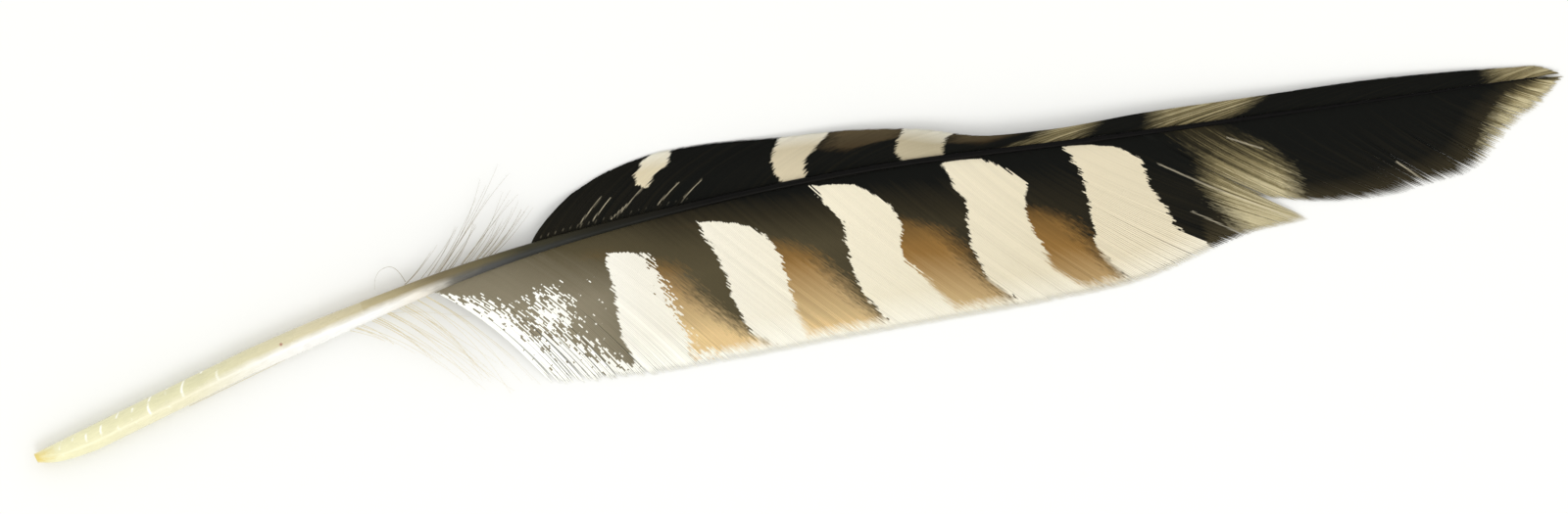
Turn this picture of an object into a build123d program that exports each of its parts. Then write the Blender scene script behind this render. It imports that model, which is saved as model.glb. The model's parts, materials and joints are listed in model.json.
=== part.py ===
"""A flight feather kept whole as a quill: hollow barrel, pith-filled shaft, two webs of barbs and the down.

Millimetres. The feather lies on its hollow side: +X runs along the straight barrel towards the tip of the
feather, +Y points to the narrow outer web and +Z is up. The origin is under the middle of the feather.
"""

import math
import os

from build123d import *

# Shaft
FEATHER_LENGTH = 235.0  # along the barrel's axis, from the lower umbilicus to the tip of the webs
BARREL_RADIUS = 1.9
BARREL_LENGTH = 27.0  # the straight round stretch
TAPER_LENGTH = 9.0  # from the round stretch down to the lower umbilicus
WALL = 0.32  # the barrel's wall
LEDGE = 0.003  # where the barrel's round stretch gives way to the flattening one
CALAMUS_LENGTH = 55.0  # hollow part, up to where the pith begins
CORTEX = 0.14  # the shaft's horny skin over the pith
CORTEX_SHARE = 0.22  # the skin is no more than this share of a thin stretch of shaft
ARCH_HEIGHT = 1.3  # how far the middle of the shaft stands above the barrel's axis
SQUARENESS = 0.25  # 0 leaves the pith-filled shaft oval, 1 makes it square
GROOVE_DEPTH = 0.16  # of the groove along the underside, as a share of the shaft's half height
GROOVE_WIDTH = 0.35  # of half the groove, as a share of the shaft's half width
RING_POINTS = 20  # of a section across the shaft
ALONG_STEP = 0.002  # of the curved part, over which the shaft's direction is taken
CALAMUS_SECTIONS = 5
PITH_SECTIONS = 17
CORTEX_SECTIONS = 20

# Webs
INNER_WIDTH = 25.1  # widest reach of the inner web from the middle of the shaft
OUTER_WIDTH = 9.2
WEB_THICKNESS = 0.24
WEB_SLOPE = 0.36  # the steepest fall of the outer web towards its margin
ROOT_GAP = 0.05  # between the shaft's side and a web
ROOT_RISE = 0.3  # how far above the middle of the shaft the barbs are rooted, as a share of its half height
PARTING = 0.1  # between one bundle of hooked barbs and the next
CAMBER = 1.7  # how late a web curls down to its margin
BARB_POINTS = 9  # along a barb, which a sheet of barbs runs through
BUNDLE_ROWS = 9  # guide barbs across a bundle

# Down
DOWN_WIDTH = 0.16
DOWN_REACH = 14.8  # of the longest on the outer side
DOWN_ROWS = 3
OUTER_DOWN_COUNT = 16
INNER_DOWN_COUNT = 14

# Dry membranes in the barrel
CAP_COUNT = 10
CAP_THICKNESS = 0.09
CAP_CLEARANCE = 0.04
CAP_DEPTH = 0.85  # of each cup, from rim to crown
CAP_CROWDING = 1.15  # more than 1 stands the cups closer together near the feather's foot
FIRST_CROWN = 1.4  # from the start of the barrel's round stretch to the first cup's crown
LAST_CROWN = 1.0  # from the last cup's crown to the end of the round stretch

BARREL_START = TAPER_LENGTH
BARREL_END = TAPER_LENGTH + BARREL_LENGTH
CURVED = FEATHER_LENGTH - BARREL_END  # the length past the straight barrel; stations are shares of it
RACHIS_LENGTH = FEATHER_LENGTH - CALAMUS_LENGTH
PITH_START = (CALAMUS_LENGTH - BARREL_END) / CURVED
SHAFT_END = 0.985
PITH_END = 0.82

# The taper's rings: share of its length, lowest and highest Y as shares of the barrel's radius
TAPER = [(0, 0.19, 0.96), (0.25, -0.38, 0.97), (0.55, -0.72, 0.99), (1, -1, 1)]

# Shares of the curved part, and a value there
SIDEWAYS = [(0, 0), (0.095, -0.0045), (0.171, -0.010), (0.241, -0.019), (0.352, -0.0407), (0.487, -0.0749),
            (0.658, -0.1322), (0.985, -0.2392)]
LIFT = [(0, 0), (0.095, 0.04), (0.241, 0.45), (0.352, 0.85), (0.487, 1.0), (0.658, 0.65), (0.81, -0.10),
        (0.985, -1.06)]
HALF_WIDTH = [(0, 1), (0.045, 1), (0.095, 0.87), (0.171, 0.65), (0.231, 0.50), (0.296, 0.40), (0.352, 0.325),
              (0.503, 0.275), (0.608, 0.245), (0.734, 0.20), (0.809, 0.147), (0.930, 0.08), (0.985, 0.045)]
HALF_HEIGHT = [(0, 1), (0.045, 1), (0.095, 0.92), (0.171, 0.79), (0.231, 0.68), (0.352, 0.53), (0.503, 0.43),
               (0.608, 0.37), (0.734, 0.27), (0.809, 0.20), (0.930, 0.11), (0.985, 0.06)]

# Guide barbs: where each is rooted and where its tip comes abreast of the shaft, as shares of the pith-filled
# shaft, and its reach as a share of the web's width
INNER_BARBS = [(0.061, 0.128, 0.83), (0.115, 0.199, 0.93), (0.183, 0.286, 0.98), (0.268, 0.382, 1.0),
               (0.360, 0.488, 0.99), (0.449, 0.578, 0.95), (0.529, 0.661, 0.87), (0.577, 0.731, 0.71),
               (0.624, 0.780, 0.67), (0.666, 0.785, 0.655)]
INNER_TIP_BARBS = [(0.666, 0.792, 0.565), (0.720, 0.838, 0.59), (0.792, 0.882, 0.56), (0.849, 0.927, 0.49),
                   (0.896, 0.959, 0.285), (0.945, 0.986, 0.16), (0.982, 1.003, 0.04)]
OUTER_BARBS = [(0.152, 0.197, 0.71), (0.172, 0.228, 0.90), (0.193, 0.264, 1.0), (0.229, 0.308, 0.97),
               (0.282, 0.368, 0.82), (0.361, 0.439, 0.68), (0.410, 0.489, 0.52), (0.451, 0.531, 0.30),
               (0.498, 0.586, 0.26), (0.570, 0.659, 0.33), (0.673, 0.755, 0.35), (0.769, 0.851, 0.36),
               (0.849, 0.923, 0.295), (0.913, 0.966, 0.23), (0.953, 0.987, 0.185), (0.982, 1.002, 0.03)]
# How much steeper a barb leaves the shaft than it runs on, in degrees
INNER_BOW = [(0.06, -18), (0.18, -8), (0.27, 0), (0.45, 5), (1, 4)]
OUTER_BOW = [(0.14, 10), (0.19, 16), (0.28, 18), (0.45, 10), (0.57, 4), (1, 6)]
LEAD = 0.4  # of a barb's length, before it turns

# The same for the down, the reach as a share of the down's
OUTER_DOWN = [(0.040, 0.093, 0.54), (0.069, 0.139, 1.0), (0.099, 0.163, 0.82), (0.124, 0.180, 0.58)]
INNER_DOWN = [(-0.019, 0.019, 0.52), (0.006, 0.062, 1.20), (0.054, 0.118, 1.38)]
DOWN_BOW = [(0, -12), (1, -12)]

# Where the barbs have come unhooked from each other
INNER_PARTINGS = [0.061, 0.183, 0.360, 0.514, 0.577, 0.624, 0.666]
INNER_TIP_PARTINGS = [0.666, 0.823, 0.923, 0.982]
OUTER_PARTINGS = [0.152, 0.193, 0.229, 0.282, 0.392, 0.514, 0.668, 0.801, 0.923, 0.982]


def smooth(pairs, at):
    """The value at a station of the smooth line through the pairs, which runs on straight past its ends."""
    xs, ys = zip(*pairs)
    rises = [(ys[i + 1] - ys[i]) / (xs[i + 1] - xs[i]) for i in range(len(xs) - 1)]
    if at <= xs[0]:
        return ys[0]
    if at >= xs[-1]:
        return ys[-1] + rises[-1] * (at - xs[-1])
    slopes = [rises[0]]
    for i in range(1, len(rises)):
        before, after = xs[i] - xs[i - 1], xs[i + 1] - xs[i]
        slopes.append((rises[i] * before + rises[i - 1] * after) / (before + after))
    slopes.append(rises[-1])
    i = max(k for k in range(len(rises)) if xs[k] <= at)
    gap = xs[i + 1] - xs[i]
    t = (at - xs[i]) / gap
    from_value = (2 * t**3 - 3 * t**2 + 1) * ys[i] + (t**3 - 2 * t**2 + t) * gap * slopes[i]
    to_value = (3 * t**2 - 2 * t**3) * ys[i + 1] + (t**3 - t**2) * gap * slopes[i + 1]
    return from_value + to_value


# Shaft


def half_width(station):
    return BARREL_RADIUS * smooth(HALF_WIDTH, station)


def half_height(station):
    return BARREL_RADIUS * smooth(HALF_HEIGHT, station)


def shaft_point(station):
    return Vector(
        BARREL_END + CURVED * station,
        CURVED * smooth(SIDEWAYS, station),
        BARREL_RADIUS + ARCH_HEIGHT * smooth(LIFT, station),
    )


def shaft_plane(station):
    """Across the shaft: x to its outer side, y up."""
    along = shaft_point(station + ALONG_STEP) - shaft_point(max(station - ALONG_STEP, 0))
    if station == 0:
        along = Vector(1, 0, 0)
    return Plane(shaft_point(station), x_dir=Vector(0, 0, 1).cross(along), z_dir=along)


def section(station, skin):
    """A ring across the shaft, skin inside its surface, squared and grooved once past the barrel."""
    width, height = half_width(station) - skin, half_height(station) - skin
    flatness = min(1, max(0, 2 * station / PITH_START - 1))
    groove = GROOVE_DEPTH * min(1, max(0, station / PITH_START - 1))
    power = 1 - SQUARENESS * flatness
    points = []
    for i in range(RING_POINTS):
        turn = 2 * math.pi * i / RING_POINTS
        across, up = math.sin(turn), math.cos(turn)
        x = width * math.copysign(abs(across) ** power, across)
        y = height * math.copysign(abs(up) ** power, up)
        if abs(x) < GROOVE_WIDTH * width and up < 0:
            y += groove * height * (1 - (x / (GROOVE_WIDTH * width)) ** 2)
        points.append(Vector(x, y, 0))
    return shaft_plane(station) * Wire(Edge.make_spline(points, periodic=True))


def shaft_solid(stations, skin):
    """Skin gives, for a station, how far inside the shaft's surface the solid lies."""
    return Solid.make_loft([section(station, skin(station)) for station in stations])


def cortex_at(station):
    return min(CORTEX, CORTEX_SHARE * half_width(station))


def taper_ring(share, low, high, skin):
    plane = Plane((TAPER_LENGTH * share, (low + high) / 2 * BARREL_RADIUS, BARREL_RADIUS), z_dir=(1, 0, 0))
    return plane * Wire(Edge.make_circle((high - low) / 2 * BARREL_RADIUS - skin))


def barrel_cylinder(radius):
    start = Plane((BARREL_START, 0, BARREL_RADIUS), z_dir=(1, 0, 0))
    return Solid.make_cylinder(radius, BARREL_LENGTH, start)


def spread(first, last, count):
    return [first + (last - first) * i / (count - 1) for i in range(count)]


def calamus_form(skin):
    """The barrel from the lower umbilicus to the pith, this far inside its surface."""
    taper = Solid.make_loft([taper_ring(*ring, skin) for ring in TAPER])
    stations = spread(0, PITH_START, CALAMUS_SECTIONS)
    upper = shaft_solid(stations, lambda station: skin + (LEDGE if station == 0 else 0))
    return taper + barrel_cylinder(BARREL_RADIUS - skin) + upper


def calamus_wall():
    return calamus_form(0) - calamus_form(WALL)


def rachis_pith():
    return shaft_solid(spread(PITH_START, PITH_END, PITH_SECTIONS), cortex_at)


def rachis_cortex(pith):
    return shaft_solid(spread(PITH_START, SHAFT_END, CORTEX_SECTIONS), lambda station: 0) - pith


def pulp_caps():
    """Dry cups left by the growing feather, a row in the barrel's hollow, rims towards the feather's tip."""
    rim = BARREL_RADIUS - WALL - CAP_CLEARANCE
    crown = (rim**2 + CAP_DEPTH**2) / (2 * CAP_DEPTH)
    half_angle = math.degrees(math.asin(rim / crown))
    outside = CenterArc((0, 0), crown, 0, half_angle)
    inside = CenterArc((0, 0), crown - CAP_THICKNESS, 0, half_angle)
    ends = [Line(inside @ 0, outside @ 0), Line(inside @ 1, outside @ 1)]
    cup = Solid.revolve(Face(Wire([outside, inside, *ends])), 360, Axis.X)
    row = BARREL_LENGTH - FIRST_CROWN - LAST_CROWN
    caps = []
    for share in spread(0, 1, CAP_COUNT):
        crown_x = BARREL_START + FIRST_CROWN + row * share**CAP_CROWDING
        caps.append(cup.moved(Location((crown_x - crown, 0, BARREL_RADIUS))))
    return Compound(children=caps)


# Webs


def on_shaft(share):
    """The station at this share of the pith-filled shaft."""
    return PITH_START + (1 - PITH_START) * share


def sideways(station, side):
    """Level, and straight away from the shaft."""
    across = shaft_plane(station).x_dir
    return Vector(across.X, across.Y, 0).normalized() * side


class Web:
    """One side of the feather: side is 1 for the outer web and -1 for the inner one."""

    def __init__(self, side, width, barbs, bow):
        self.side = side
        self.width = width
        self.bow = bow
        self.ends = [(root, tip) for root, tip, _ in barbs]
        self.reaches = [(root, reach) for root, _, reach in barbs]

    def reach(self, share):
        return self.width * smooth(self.reaches, share)

    def root(self, share):
        station = on_shaft(share)
        aside = sideways(station, self.side) * (half_width(station) + ROOT_GAP)
        return shaft_point(station) + aside + Vector(0, 0, ROOT_RISE * half_height(station))

    def tip(self, share):
        end = on_shaft(smooth(self.ends, share))
        spot = shaft_point(end) + sideways(end, self.side) * self.reach(share)
        height = WEB_THICKNESS / 2
        if self.side > 0:
            height = max(height, self.root(share).Z - WEB_SLOPE * self.reach(share))
        return Vector(spot.X, spot.Y, height)

    def point(self, share, along):
        """This share of the way along the barb that is rooted at this share of the shaft."""
        root = self.root(share)
        tip = self.tip(share)
        run = Vector(tip.X - root.X, tip.Y - root.Y, 0)
        lead = run.rotate(Axis.Z, self.side * smooth(self.bow, share)) * LEAD
        level = lead * (2 * along * (1 - along)) + run * along**2
        height = tip.Z + (root.Z - tip.Z) * (1 - along**CAMBER)
        return Vector(root.X + level.X, root.Y + level.Y, height)

    def clear_of(self, share, gap):
        """How much of the shaft keeps a bundle this far, square to the barbs, from the barb rooted there."""
        length = (self.tip(share) - self.root(share)).length
        return gap * length / self.reach(share) / RACHIS_LENGTH

    def sheet(self, first, last, thickness, rows):
        """The sheet between the barbs rooted at first and at last."""
        alongs = spread(0, 1, BARB_POINTS)
        grid = [[self.point(share, along) for along in alongs] for share in spread(first, last, rows)]
        middle = Face.make_surface_from_array_of_points(grid, tol=0.01, min_deg=1, max_deg=3)
        return Solid.extrude(middle.moved(Location((0, 0, -thickness / 2))), Vector(0, 0, thickness))

    def bundle(self, first, last):
        """Hooked barbs, parted from their neighbours on both sides."""
        start = first + self.clear_of(first, PARTING / 2)
        end = last - self.clear_of(last, PARTING / 2)
        return self.sheet(start, end, WEB_THICKNESS, BUNDLE_ROWS)


def down_barbs(side, barbs, count):
    """Loose barbs about the start of the pith, evenly rooted between the first and the last of these."""
    fan = Web(side, DOWN_REACH, barbs, DOWN_BOW)
    width = DOWN_WIDTH / RACHIS_LENGTH
    roots = spread(barbs[0][0], barbs[-1][0], count)
    return Compound(children=[fan.sheet(root, root + width, DOWN_WIDTH, DOWN_ROWS) for root in roots])


def build():
    pith = rachis_pith()
    nodes = {
        "calamus_wall": calamus_wall(),
        "pulp_caps": pulp_caps(),
        "rachis_cortex": rachis_cortex(pith),
        "rachis_pith": pith,
    }
    inner = Web(-1, INNER_WIDTH, INNER_BARBS, INNER_BOW)
    inner_tip = Web(-1, INNER_WIDTH, INNER_TIP_BARBS, INNER_BOW)
    outer = Web(1, OUTER_WIDTH, OUTER_BARBS, OUTER_BOW)
    number = 0
    for web, partings in ((inner, INNER_PARTINGS), (inner_tip, INNER_TIP_PARTINGS)):
        for first, last in zip(partings, partings[1:]):
            number += 1
            nodes[f"inner_web_{number}"] = web.bundle(first, last)
    for number, (first, last) in enumerate(zip(OUTER_PARTINGS, OUTER_PARTINGS[1:]), 1):
        nodes[f"outer_web_{number}"] = outer.bundle(first, last)
    nodes["outer_down"] = down_barbs(1, OUTER_DOWN, OUTER_DOWN_COUNT)
    nodes["inner_down"] = down_barbs(-1, INNER_DOWN, INNER_DOWN_COUNT)
    return nodes


def main():
    nodes = build()
    box = Compound(children=[Compound(children=node.solids()) for node in nodes.values()]).bounding_box()
    to_origin = Location((-(box.min.X + box.max.X) / 2, -(box.min.Y + box.max.Y) / 2, -box.min.Z))
    os.makedirs("parts", exist_ok=True)
    for name, node in nodes.items():
        export_step(node.moved(to_origin), f"parts/{name}.step")
    barrel = to_origin.position + Vector(BARREL_START + BARREL_LENGTH / 2, 0, BARREL_RADIUS)
    print("overall", box.size, "middle of the barrel", barrel)


if __name__ == "__main__":
    main()
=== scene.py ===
"""A flight feather kept whole as a quill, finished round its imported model.

Lengths are worked in millimetres from the feather's foot and turned to metres in the model's frame last.
"""

import json
import math

import bpy
import numpy as np
from bpy.props import FloatProperty, FloatVectorProperty, IntProperty, PointerProperty
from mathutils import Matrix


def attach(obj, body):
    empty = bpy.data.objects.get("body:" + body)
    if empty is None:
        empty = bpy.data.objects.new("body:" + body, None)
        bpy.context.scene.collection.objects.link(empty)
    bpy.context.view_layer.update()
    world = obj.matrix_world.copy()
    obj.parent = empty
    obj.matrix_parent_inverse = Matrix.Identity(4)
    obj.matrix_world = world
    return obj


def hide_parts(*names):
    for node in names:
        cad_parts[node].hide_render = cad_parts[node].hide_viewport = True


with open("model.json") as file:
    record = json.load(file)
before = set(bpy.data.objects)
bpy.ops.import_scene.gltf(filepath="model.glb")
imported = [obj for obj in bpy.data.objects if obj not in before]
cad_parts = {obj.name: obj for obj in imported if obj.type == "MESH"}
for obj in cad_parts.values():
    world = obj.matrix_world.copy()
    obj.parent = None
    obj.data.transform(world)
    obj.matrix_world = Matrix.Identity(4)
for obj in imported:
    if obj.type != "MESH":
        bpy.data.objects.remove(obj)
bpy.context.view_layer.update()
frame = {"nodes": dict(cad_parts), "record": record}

bl_info = {
    "name": "Feather Quill",
    "version": (1, 0, 0),
    "blender": (4, 5, 0),
    "location": "View3D > Sidebar > Quill",
    "description": "Finishes a packed feather quill: barrel, shaft, webs of barbs and down",
    "category": "Object",
}

MILLIMETRE = 0.001
MOUNT = np.array(frame["record"]["mounts"][0]["pos_m"])  # the middle of the barrel
BODY = "root"

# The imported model's sizes, in millimetres
FEATHER_LENGTH = 235.0
BARREL_RADIUS = 1.9
BARREL_LENGTH = 27.0
TAPER_LENGTH = 9.0
WALL = 0.32
CALAMUS_LENGTH = 55.0
CORTEX = 0.14
CORTEX_SHARE = 0.22
ARCH_HEIGHT = 1.3
GROOVE_DEPTH = 0.16
INNER_WIDTH = 25.1
OUTER_WIDTH = 9.2
WEB_THICKNESS = 0.24
WEB_SLOPE = 0.36
ROOT_GAP = 0.05
ROOT_RISE = 0.3
CAMBER = 1.7
DOWN_REACH = 14.8
CAP_COUNT = 10
CAP_CLEARANCE = 0.04
CAP_DEPTH = 0.85
CAP_CROWDING = 1.15
CAP_THICKNESS = 0.09

BARREL_END = TAPER_LENGTH + BARREL_LENGTH
BARREL_MIDDLE = np.array([TAPER_LENGTH + BARREL_LENGTH / 2, 0, BARREL_RADIUS])
CURVED = FEATHER_LENGTH - BARREL_END
RACHIS_LENGTH = FEATHER_LENGTH - CALAMUS_LENGTH
PITH_START = (CALAMUS_LENGTH - BARREL_END) / CURVED
SHAFT_END = 0.985
ROOT_DEPTH = 0.14  # how far a barb's root is let into the shaft
ROOT_FADE = 8  # how soon a barb comes up out of the shaft
SWAY_COUNT = 160  # independent leanings of the barbs along a web
SWAY = 0.22  # how far neighbouring barbs lean together at their ends
OWN_SWAY = 0.07  # how far each leans by itself
MARK_SCATTER = 0.14  # how far each barb's markings are shifted
CUP_SETBACK = 1.4  # from the taper to the first dry cup
CUP_ROOM = 2.4  # what the cups leave free of the barrel's length
PITH_END = 0.82

# The foot's taper: share of its length, lowest and highest side in barrel radii
TAPER_LOW = [(0, 0.19), (0.25, -0.38), (0.55, -0.72), (1, -1)]
TAPER_HIGH = [(0, 0.96), (0.25, 0.97), (0.55, 0.99), (1, 1)]

# Shares of the curved part, and a value there
SIDEWAYS = [(0, 0), (0.095, -0.0045), (0.171, -0.010), (0.241, -0.019), (0.352, -0.0407), (0.487, -0.0749),
            (0.658, -0.1322), (0.985, -0.2392)]
LIFT = [(0, 0), (0.095, 0.04), (0.241, 0.45), (0.352, 0.85), (0.487, 1.0), (0.658, 0.65), (0.81, -0.10),
        (0.985, -1.06)]
HALF_WIDTH = [(0, 1), (0.045, 1), (0.095, 0.87), (0.171, 0.65), (0.231, 0.50), (0.296, 0.40), (0.352, 0.325),
              (0.503, 0.275), (0.608, 0.245), (0.734, 0.20), (0.809, 0.147), (0.930, 0.08), (0.985, 0.045)]
HALF_HEIGHT = [(0, 1), (0.045, 1), (0.095, 0.92), (0.171, 0.79), (0.231, 0.68), (0.352, 0.53), (0.503, 0.43),
               (0.608, 0.37), (0.734, 0.27), (0.809, 0.20), (0.930, 0.11), (0.985, 0.06)]

# Guide barbs: share of the pith-filled shaft at the root, share abreast of the tip, reach in web widths
INNER_BARBS = [(0.061, 0.128, 0.83), (0.115, 0.199, 0.93), (0.183, 0.286, 0.98), (0.268, 0.382, 1.0),
               (0.360, 0.488, 0.99), (0.449, 0.578, 0.95), (0.529, 0.661, 0.87), (0.577, 0.731, 0.71),
               (0.624, 0.780, 0.67), (0.666, 0.785, 0.655)]
INNER_TIP_BARBS = [(0.660, 0.751, 0.492), (0.674, 0.774, 0.535), (0.692, 0.803, 0.575), (0.720, 0.838, 0.59),
                   (0.792, 0.882, 0.56), (0.849, 0.927, 0.49),
                   (0.896, 0.959, 0.285), (0.945, 0.986, 0.16), (0.982, 1.003, 0.04)]
OUTER_BARBS = [(0.152, 0.197, 0.71), (0.172, 0.228, 0.90), (0.193, 0.264, 1.0), (0.229, 0.308, 0.97),
               (0.282, 0.368, 0.82), (0.361, 0.439, 0.68), (0.410, 0.489, 0.52), (0.451, 0.531, 0.30),
               (0.498, 0.586, 0.26), (0.570, 0.659, 0.33), (0.673, 0.755, 0.35), (0.769, 0.851, 0.36),
               (0.849, 0.923, 0.295), (0.913, 0.966, 0.23), (0.953, 0.987, 0.185), (0.982, 1.002, 0.03)]
INNER_BOW = [(0.06, -18), (0.18, -8), (0.27, 0), (0.45, 5), (1, 4)]
OUTER_BOW = [(0.14, 10), (0.19, 16), (0.28, 18), (0.45, 10), (0.57, 4), (1, 6)]
LEAD = 0.4
OUTER_DOWN = [(0.040, 0.093, 0.54), (0.069, 0.139, 1.0), (0.099, 0.163, 0.82), (0.124, 0.180, 0.58)]
INNER_DOWN = [(-0.019, 0.019, 0.52), (0.006, 0.062, 1.20), (0.054, 0.118, 1.38)]
DOWN_BOW = [(0, -12), (1, -12)]
INNER_PARTINGS = [0.061, 0.183, 0.360, 0.514, 0.577, 0.624, 0.666]
INNER_TIP_PARTINGS = [0.660, 0.823, 0.923, 0.990]
OUTER_PARTINGS = [0.152, 0.193, 0.229, 0.282, 0.392, 0.514, 0.668, 0.801, 0.923, 0.986]

# Markings. An edge runs out from the shaft as (millimetres out, share of the shaft); a band lies between two.
INNER_PALE = [
    ([(0, 0.214), (4.2, 0.212), (4.7, 0.209), (10.9, 0.208), (16.9, 0.204), (20.8, 0.210), (25, 0.216)],
     [(0, 0.190), (3.9, 0.212), (4.1, 0.220), (4.7, 0.232), (5.6, 0.243), (8.9, 0.249), (15.5, 0.257),
      (25, 0.266)]),
    ([(0, 0.292), (4.7, 0.292), (6.8, 0.299), (12.1, 0.304), (18, 0.308), (21, 0.313), (23.1, 0.327),
      (26, 0.345)],
     [(0, 0.270), (2.7, 0.291), (3.1, 0.305), (4.1, 0.321), (5.2, 0.334), (7.3, 0.346), (10.5, 0.352),
      (19.7, 0.357),
      (25, 0.366)]),
    ([(0, 0.385), (1.8, 0.392), (4, 0.398), (7.4, 0.409), (15.4, 0.411), (18.7, 0.416), (23, 0.432),
      (26, 0.447)],
     [(0, 0.370), (0.9, 0.390), (1.3, 0.408), (1.9, 0.423), (3.8, 0.438), (6.1, 0.452), (9.3, 0.458),
      (14, 0.454),
      (16.3, 0.465), (20.5, 0.482), (25, 0.505)]),
    ([(0, 0.493), (2.1, 0.501), (4.4, 0.504), (6.9, 0.513), (13.7, 0.512), (19.3, 0.524), (23.3, 0.548),
      (26, 0.565)],
     [(0, 0.480), (0.5, 0.495), (0.8, 0.529), (2.3, 0.544), (5.2, 0.564), (8, 0.561), (11.5, 0.561),
      (14.2, 0.569),
      (18.9, 0.577), (21.7, 0.598), (25, 0.620)]),
    ([(0, 0.590), (1.8, 0.599), (4.1, 0.607), (10, 0.611), (16.1, 0.613), (18.5, 0.620), (21.9, 0.633),
      (25, 0.650)],
     [(0, 0.580), (0.4, 0.592), (0.7, 0.616), (1.6, 0.639), (4, 0.657), (9, 0.662), (11.5, 0.672),
      (14.7, 0.676),
      (18.4, 0.703), (24, 0.740)]),
]
RUST_START = 0.017  # share of the shaft by which the rust runs on under the pale band
# The far edge of the rust behind each of the first four pale bands
INNER_RUST = [
    [(0, 0.19), (4.4, 0.215), (6.6, 0.248), (8.6, 0.263), (13, 0.271), (16.8, 0.288), (20.8, 0.308),
     (23.3, 0.332), (26, 0.360)],
    [(0, 0.28), (5.6, 0.315), (8.0, 0.352), (10.2, 0.374), (14.8, 0.393), (20.1, 0.413), (23.4, 0.431),
     (26, 0.450)],
    [(0, 0.38), (6.2, 0.425), (8.6, 0.462), (10.4, 0.486), (13.4, 0.500), (18.3, 0.517), (22.2, 0.539),
     (26, 0.560)],
    [(0, 0.49), (7.2, 0.535), (9.6, 0.572), (11.8, 0.592), (15.1, 0.606), (19.3, 0.622), (21.1, 0.632),
     (25, 0.650)],
]
INNER_TAN = [
    ([(0, 0.684), (4.6, 0.707), (8.7, 0.707), (11.9, 0.715), (15.2, 0.727), (17.4, 0.735), (22, 0.750)],
     [(0, 0.705), (0.4, 0.720), (4.7, 0.757), (8.9, 0.774), (12.8, 0.776), (18, 0.800)]),
    ([(0, 0.980), (1.8, 0.961), (5.2, 0.947), (9.4, 0.935), (14, 0.930)], [(0, 1.2), (1, 1.2)]),
]
# Out from here the base of the inner web is white: share of the shaft, millimetres
BASE_LIMIT = [(0.063, 1.3), (0.077, 3.1), (0.088, 4.3), (0.105, 6.9), (0.116, 8.5), (0.124, 11), (0.129, 13),
              (0.152, 13.8), (0.164, 16), (0.187, 19.2), (0.209, 21.4), (0.240, 24)]
BASE_PATCH = (0.150, 10.4, 2.6)  # share, millimetres out, radius
# How unevenly the inner web's barbs end, as a share of the usual scatter
INNER_FRINGE = [(0.06, 3.2), (0.09, 1.8), (0.14, 0.5), (0.2, 0.3), (0.6, 0.35), (0.648, 0.5), (0.659, 2.2),
                (0.6659, 2.6), (0.667, 0.7), (0.9, 1.1), (1, 1.0)]
INNER_MARGIN = [(0.06, 0.5), (0.24, 2.2), (0.45, 2.0), (0.58, 1.6), (0.66, 1.0), (0.70, -0.5), (1, -2)]
OUTER_PALE = [
    ([(0, 0.268), (4.2, 0.258), (5, 0.250), (6.5, 0.250), (8.4, 0.258), (9.1, 0.267), (11, 0.280)],
     [(0, 0.250), (4.2, 0.258), (6.1, 0.266), (6.8, 0.277), (8.4, 0.282), (11, 0.290)]),
    ([(0, 0.367), (2.4, 0.362), (4.7, 0.362), (6.3, 0.368), (7.4, 0.372), (9.5, 0.385)],
     [(0, 0.386), (3, 0.387), (4.2, 0.395), (6, 0.408), (9, 0.425)]),
    ([(0, 0.466), (2, 0.462), (3.5, 0.464), (5.1, 0.470), (7, 0.480)],
     [(0, 0.498), (1.7, 0.500), (2.9, 0.503), (3.7, 0.512), (6, 0.525)]),
]
OUTER_TAN = [
    ([(0, 0.548), (0.5, 0.553), (1, 0.565), (1.4, 0.577), (3, 0.590)],
     [(0, 0.608), (1.2, 0.613), (2, 0.618), (4, 0.63)]),
    ([(0, 0.670), (4, 0.676)], [(0, 0.718), (1.1, 0.739), (2.3, 0.750), (4, 0.765)]),
    ([(0, 0.950), (4, 0.945)], [(0, 1.2), (1, 1.2)]),
]
OUTER_RUST = [([(0, 0.5), (3.6, 0.42), (4.4, 0.405), (8, 0.42)],
               [(0, 0.4), (3.4, 0.42), (4.2, 0.47), (8, 0.478)]),
              ([(0, 0.56), (1.6, 0.53), (2.2, 0.507), (6, 0.52)],
               [(0, 0.5), (1.4, 0.53), (2.2, 0.556), (6, 0.565)])]
# Single barbs painted pale as highlights where they catch the light: share and millimetres out at each end
INNER_GLINTS = [(0.669, 4.9, 0.705, 9.1), (0.705, 9.1, 0.783, 17.3), (0.691, 12.8, 0.731, 17.6),
                (0.861, 9.7, 0.882, 13.3), (0.934, 7.9, 0.942, 10), (0.727, 2.4, 0.756, 5)]
OUTER_GLINTS = [(0.195, 1.5, 0.219, 4.7), (0.206, 1.4, 0.226, 4.2), (0.230, 1.5, 0.255, 4.6),
                (0.262, 1.4, 0.284, 4),
                (0.284, 1.4, 0.303, 3.6), (0.222, 1.0, 0.238, 2.6)]

# How dark the web is, from grey-brown at 0 to black at 1: share of the shaft, at the shaft and well out
INK_AT_SHAFT = [(0.05, 0.05), (0.12, 0.24), (0.19, 0.58), (0.26, 0.88), (0.36, 1.06), (0.48, 1.1),
                (0.58, 1.06), (1, 1)]
INK_WELL_OUT = [(0.05, 0.0), (0.12, 0.0), (0.19, 0.10), (0.27, 0.43), (0.38, 0.60), (0.49, 0.78),
                (0.59, 0.88),
                (0.68, 0.96), (0.80, 0.98), (1, 0.97)]
OUTER_INK = [(0.14, 0.93), (0.2, 0.97), (0.3, 1.0), (1, 1.0)]


def paint(red, green, blue, strength=0.83):
    """A colour as the eye reads it, 0 to 255, as the surface's own linear colour."""
    return tuple(strength * ((c / 255 + 0.055) / 1.055) ** 2.4 if c > 10 else c / 3294.6 for c in (red, green,
                                                                                                   blue))


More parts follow.
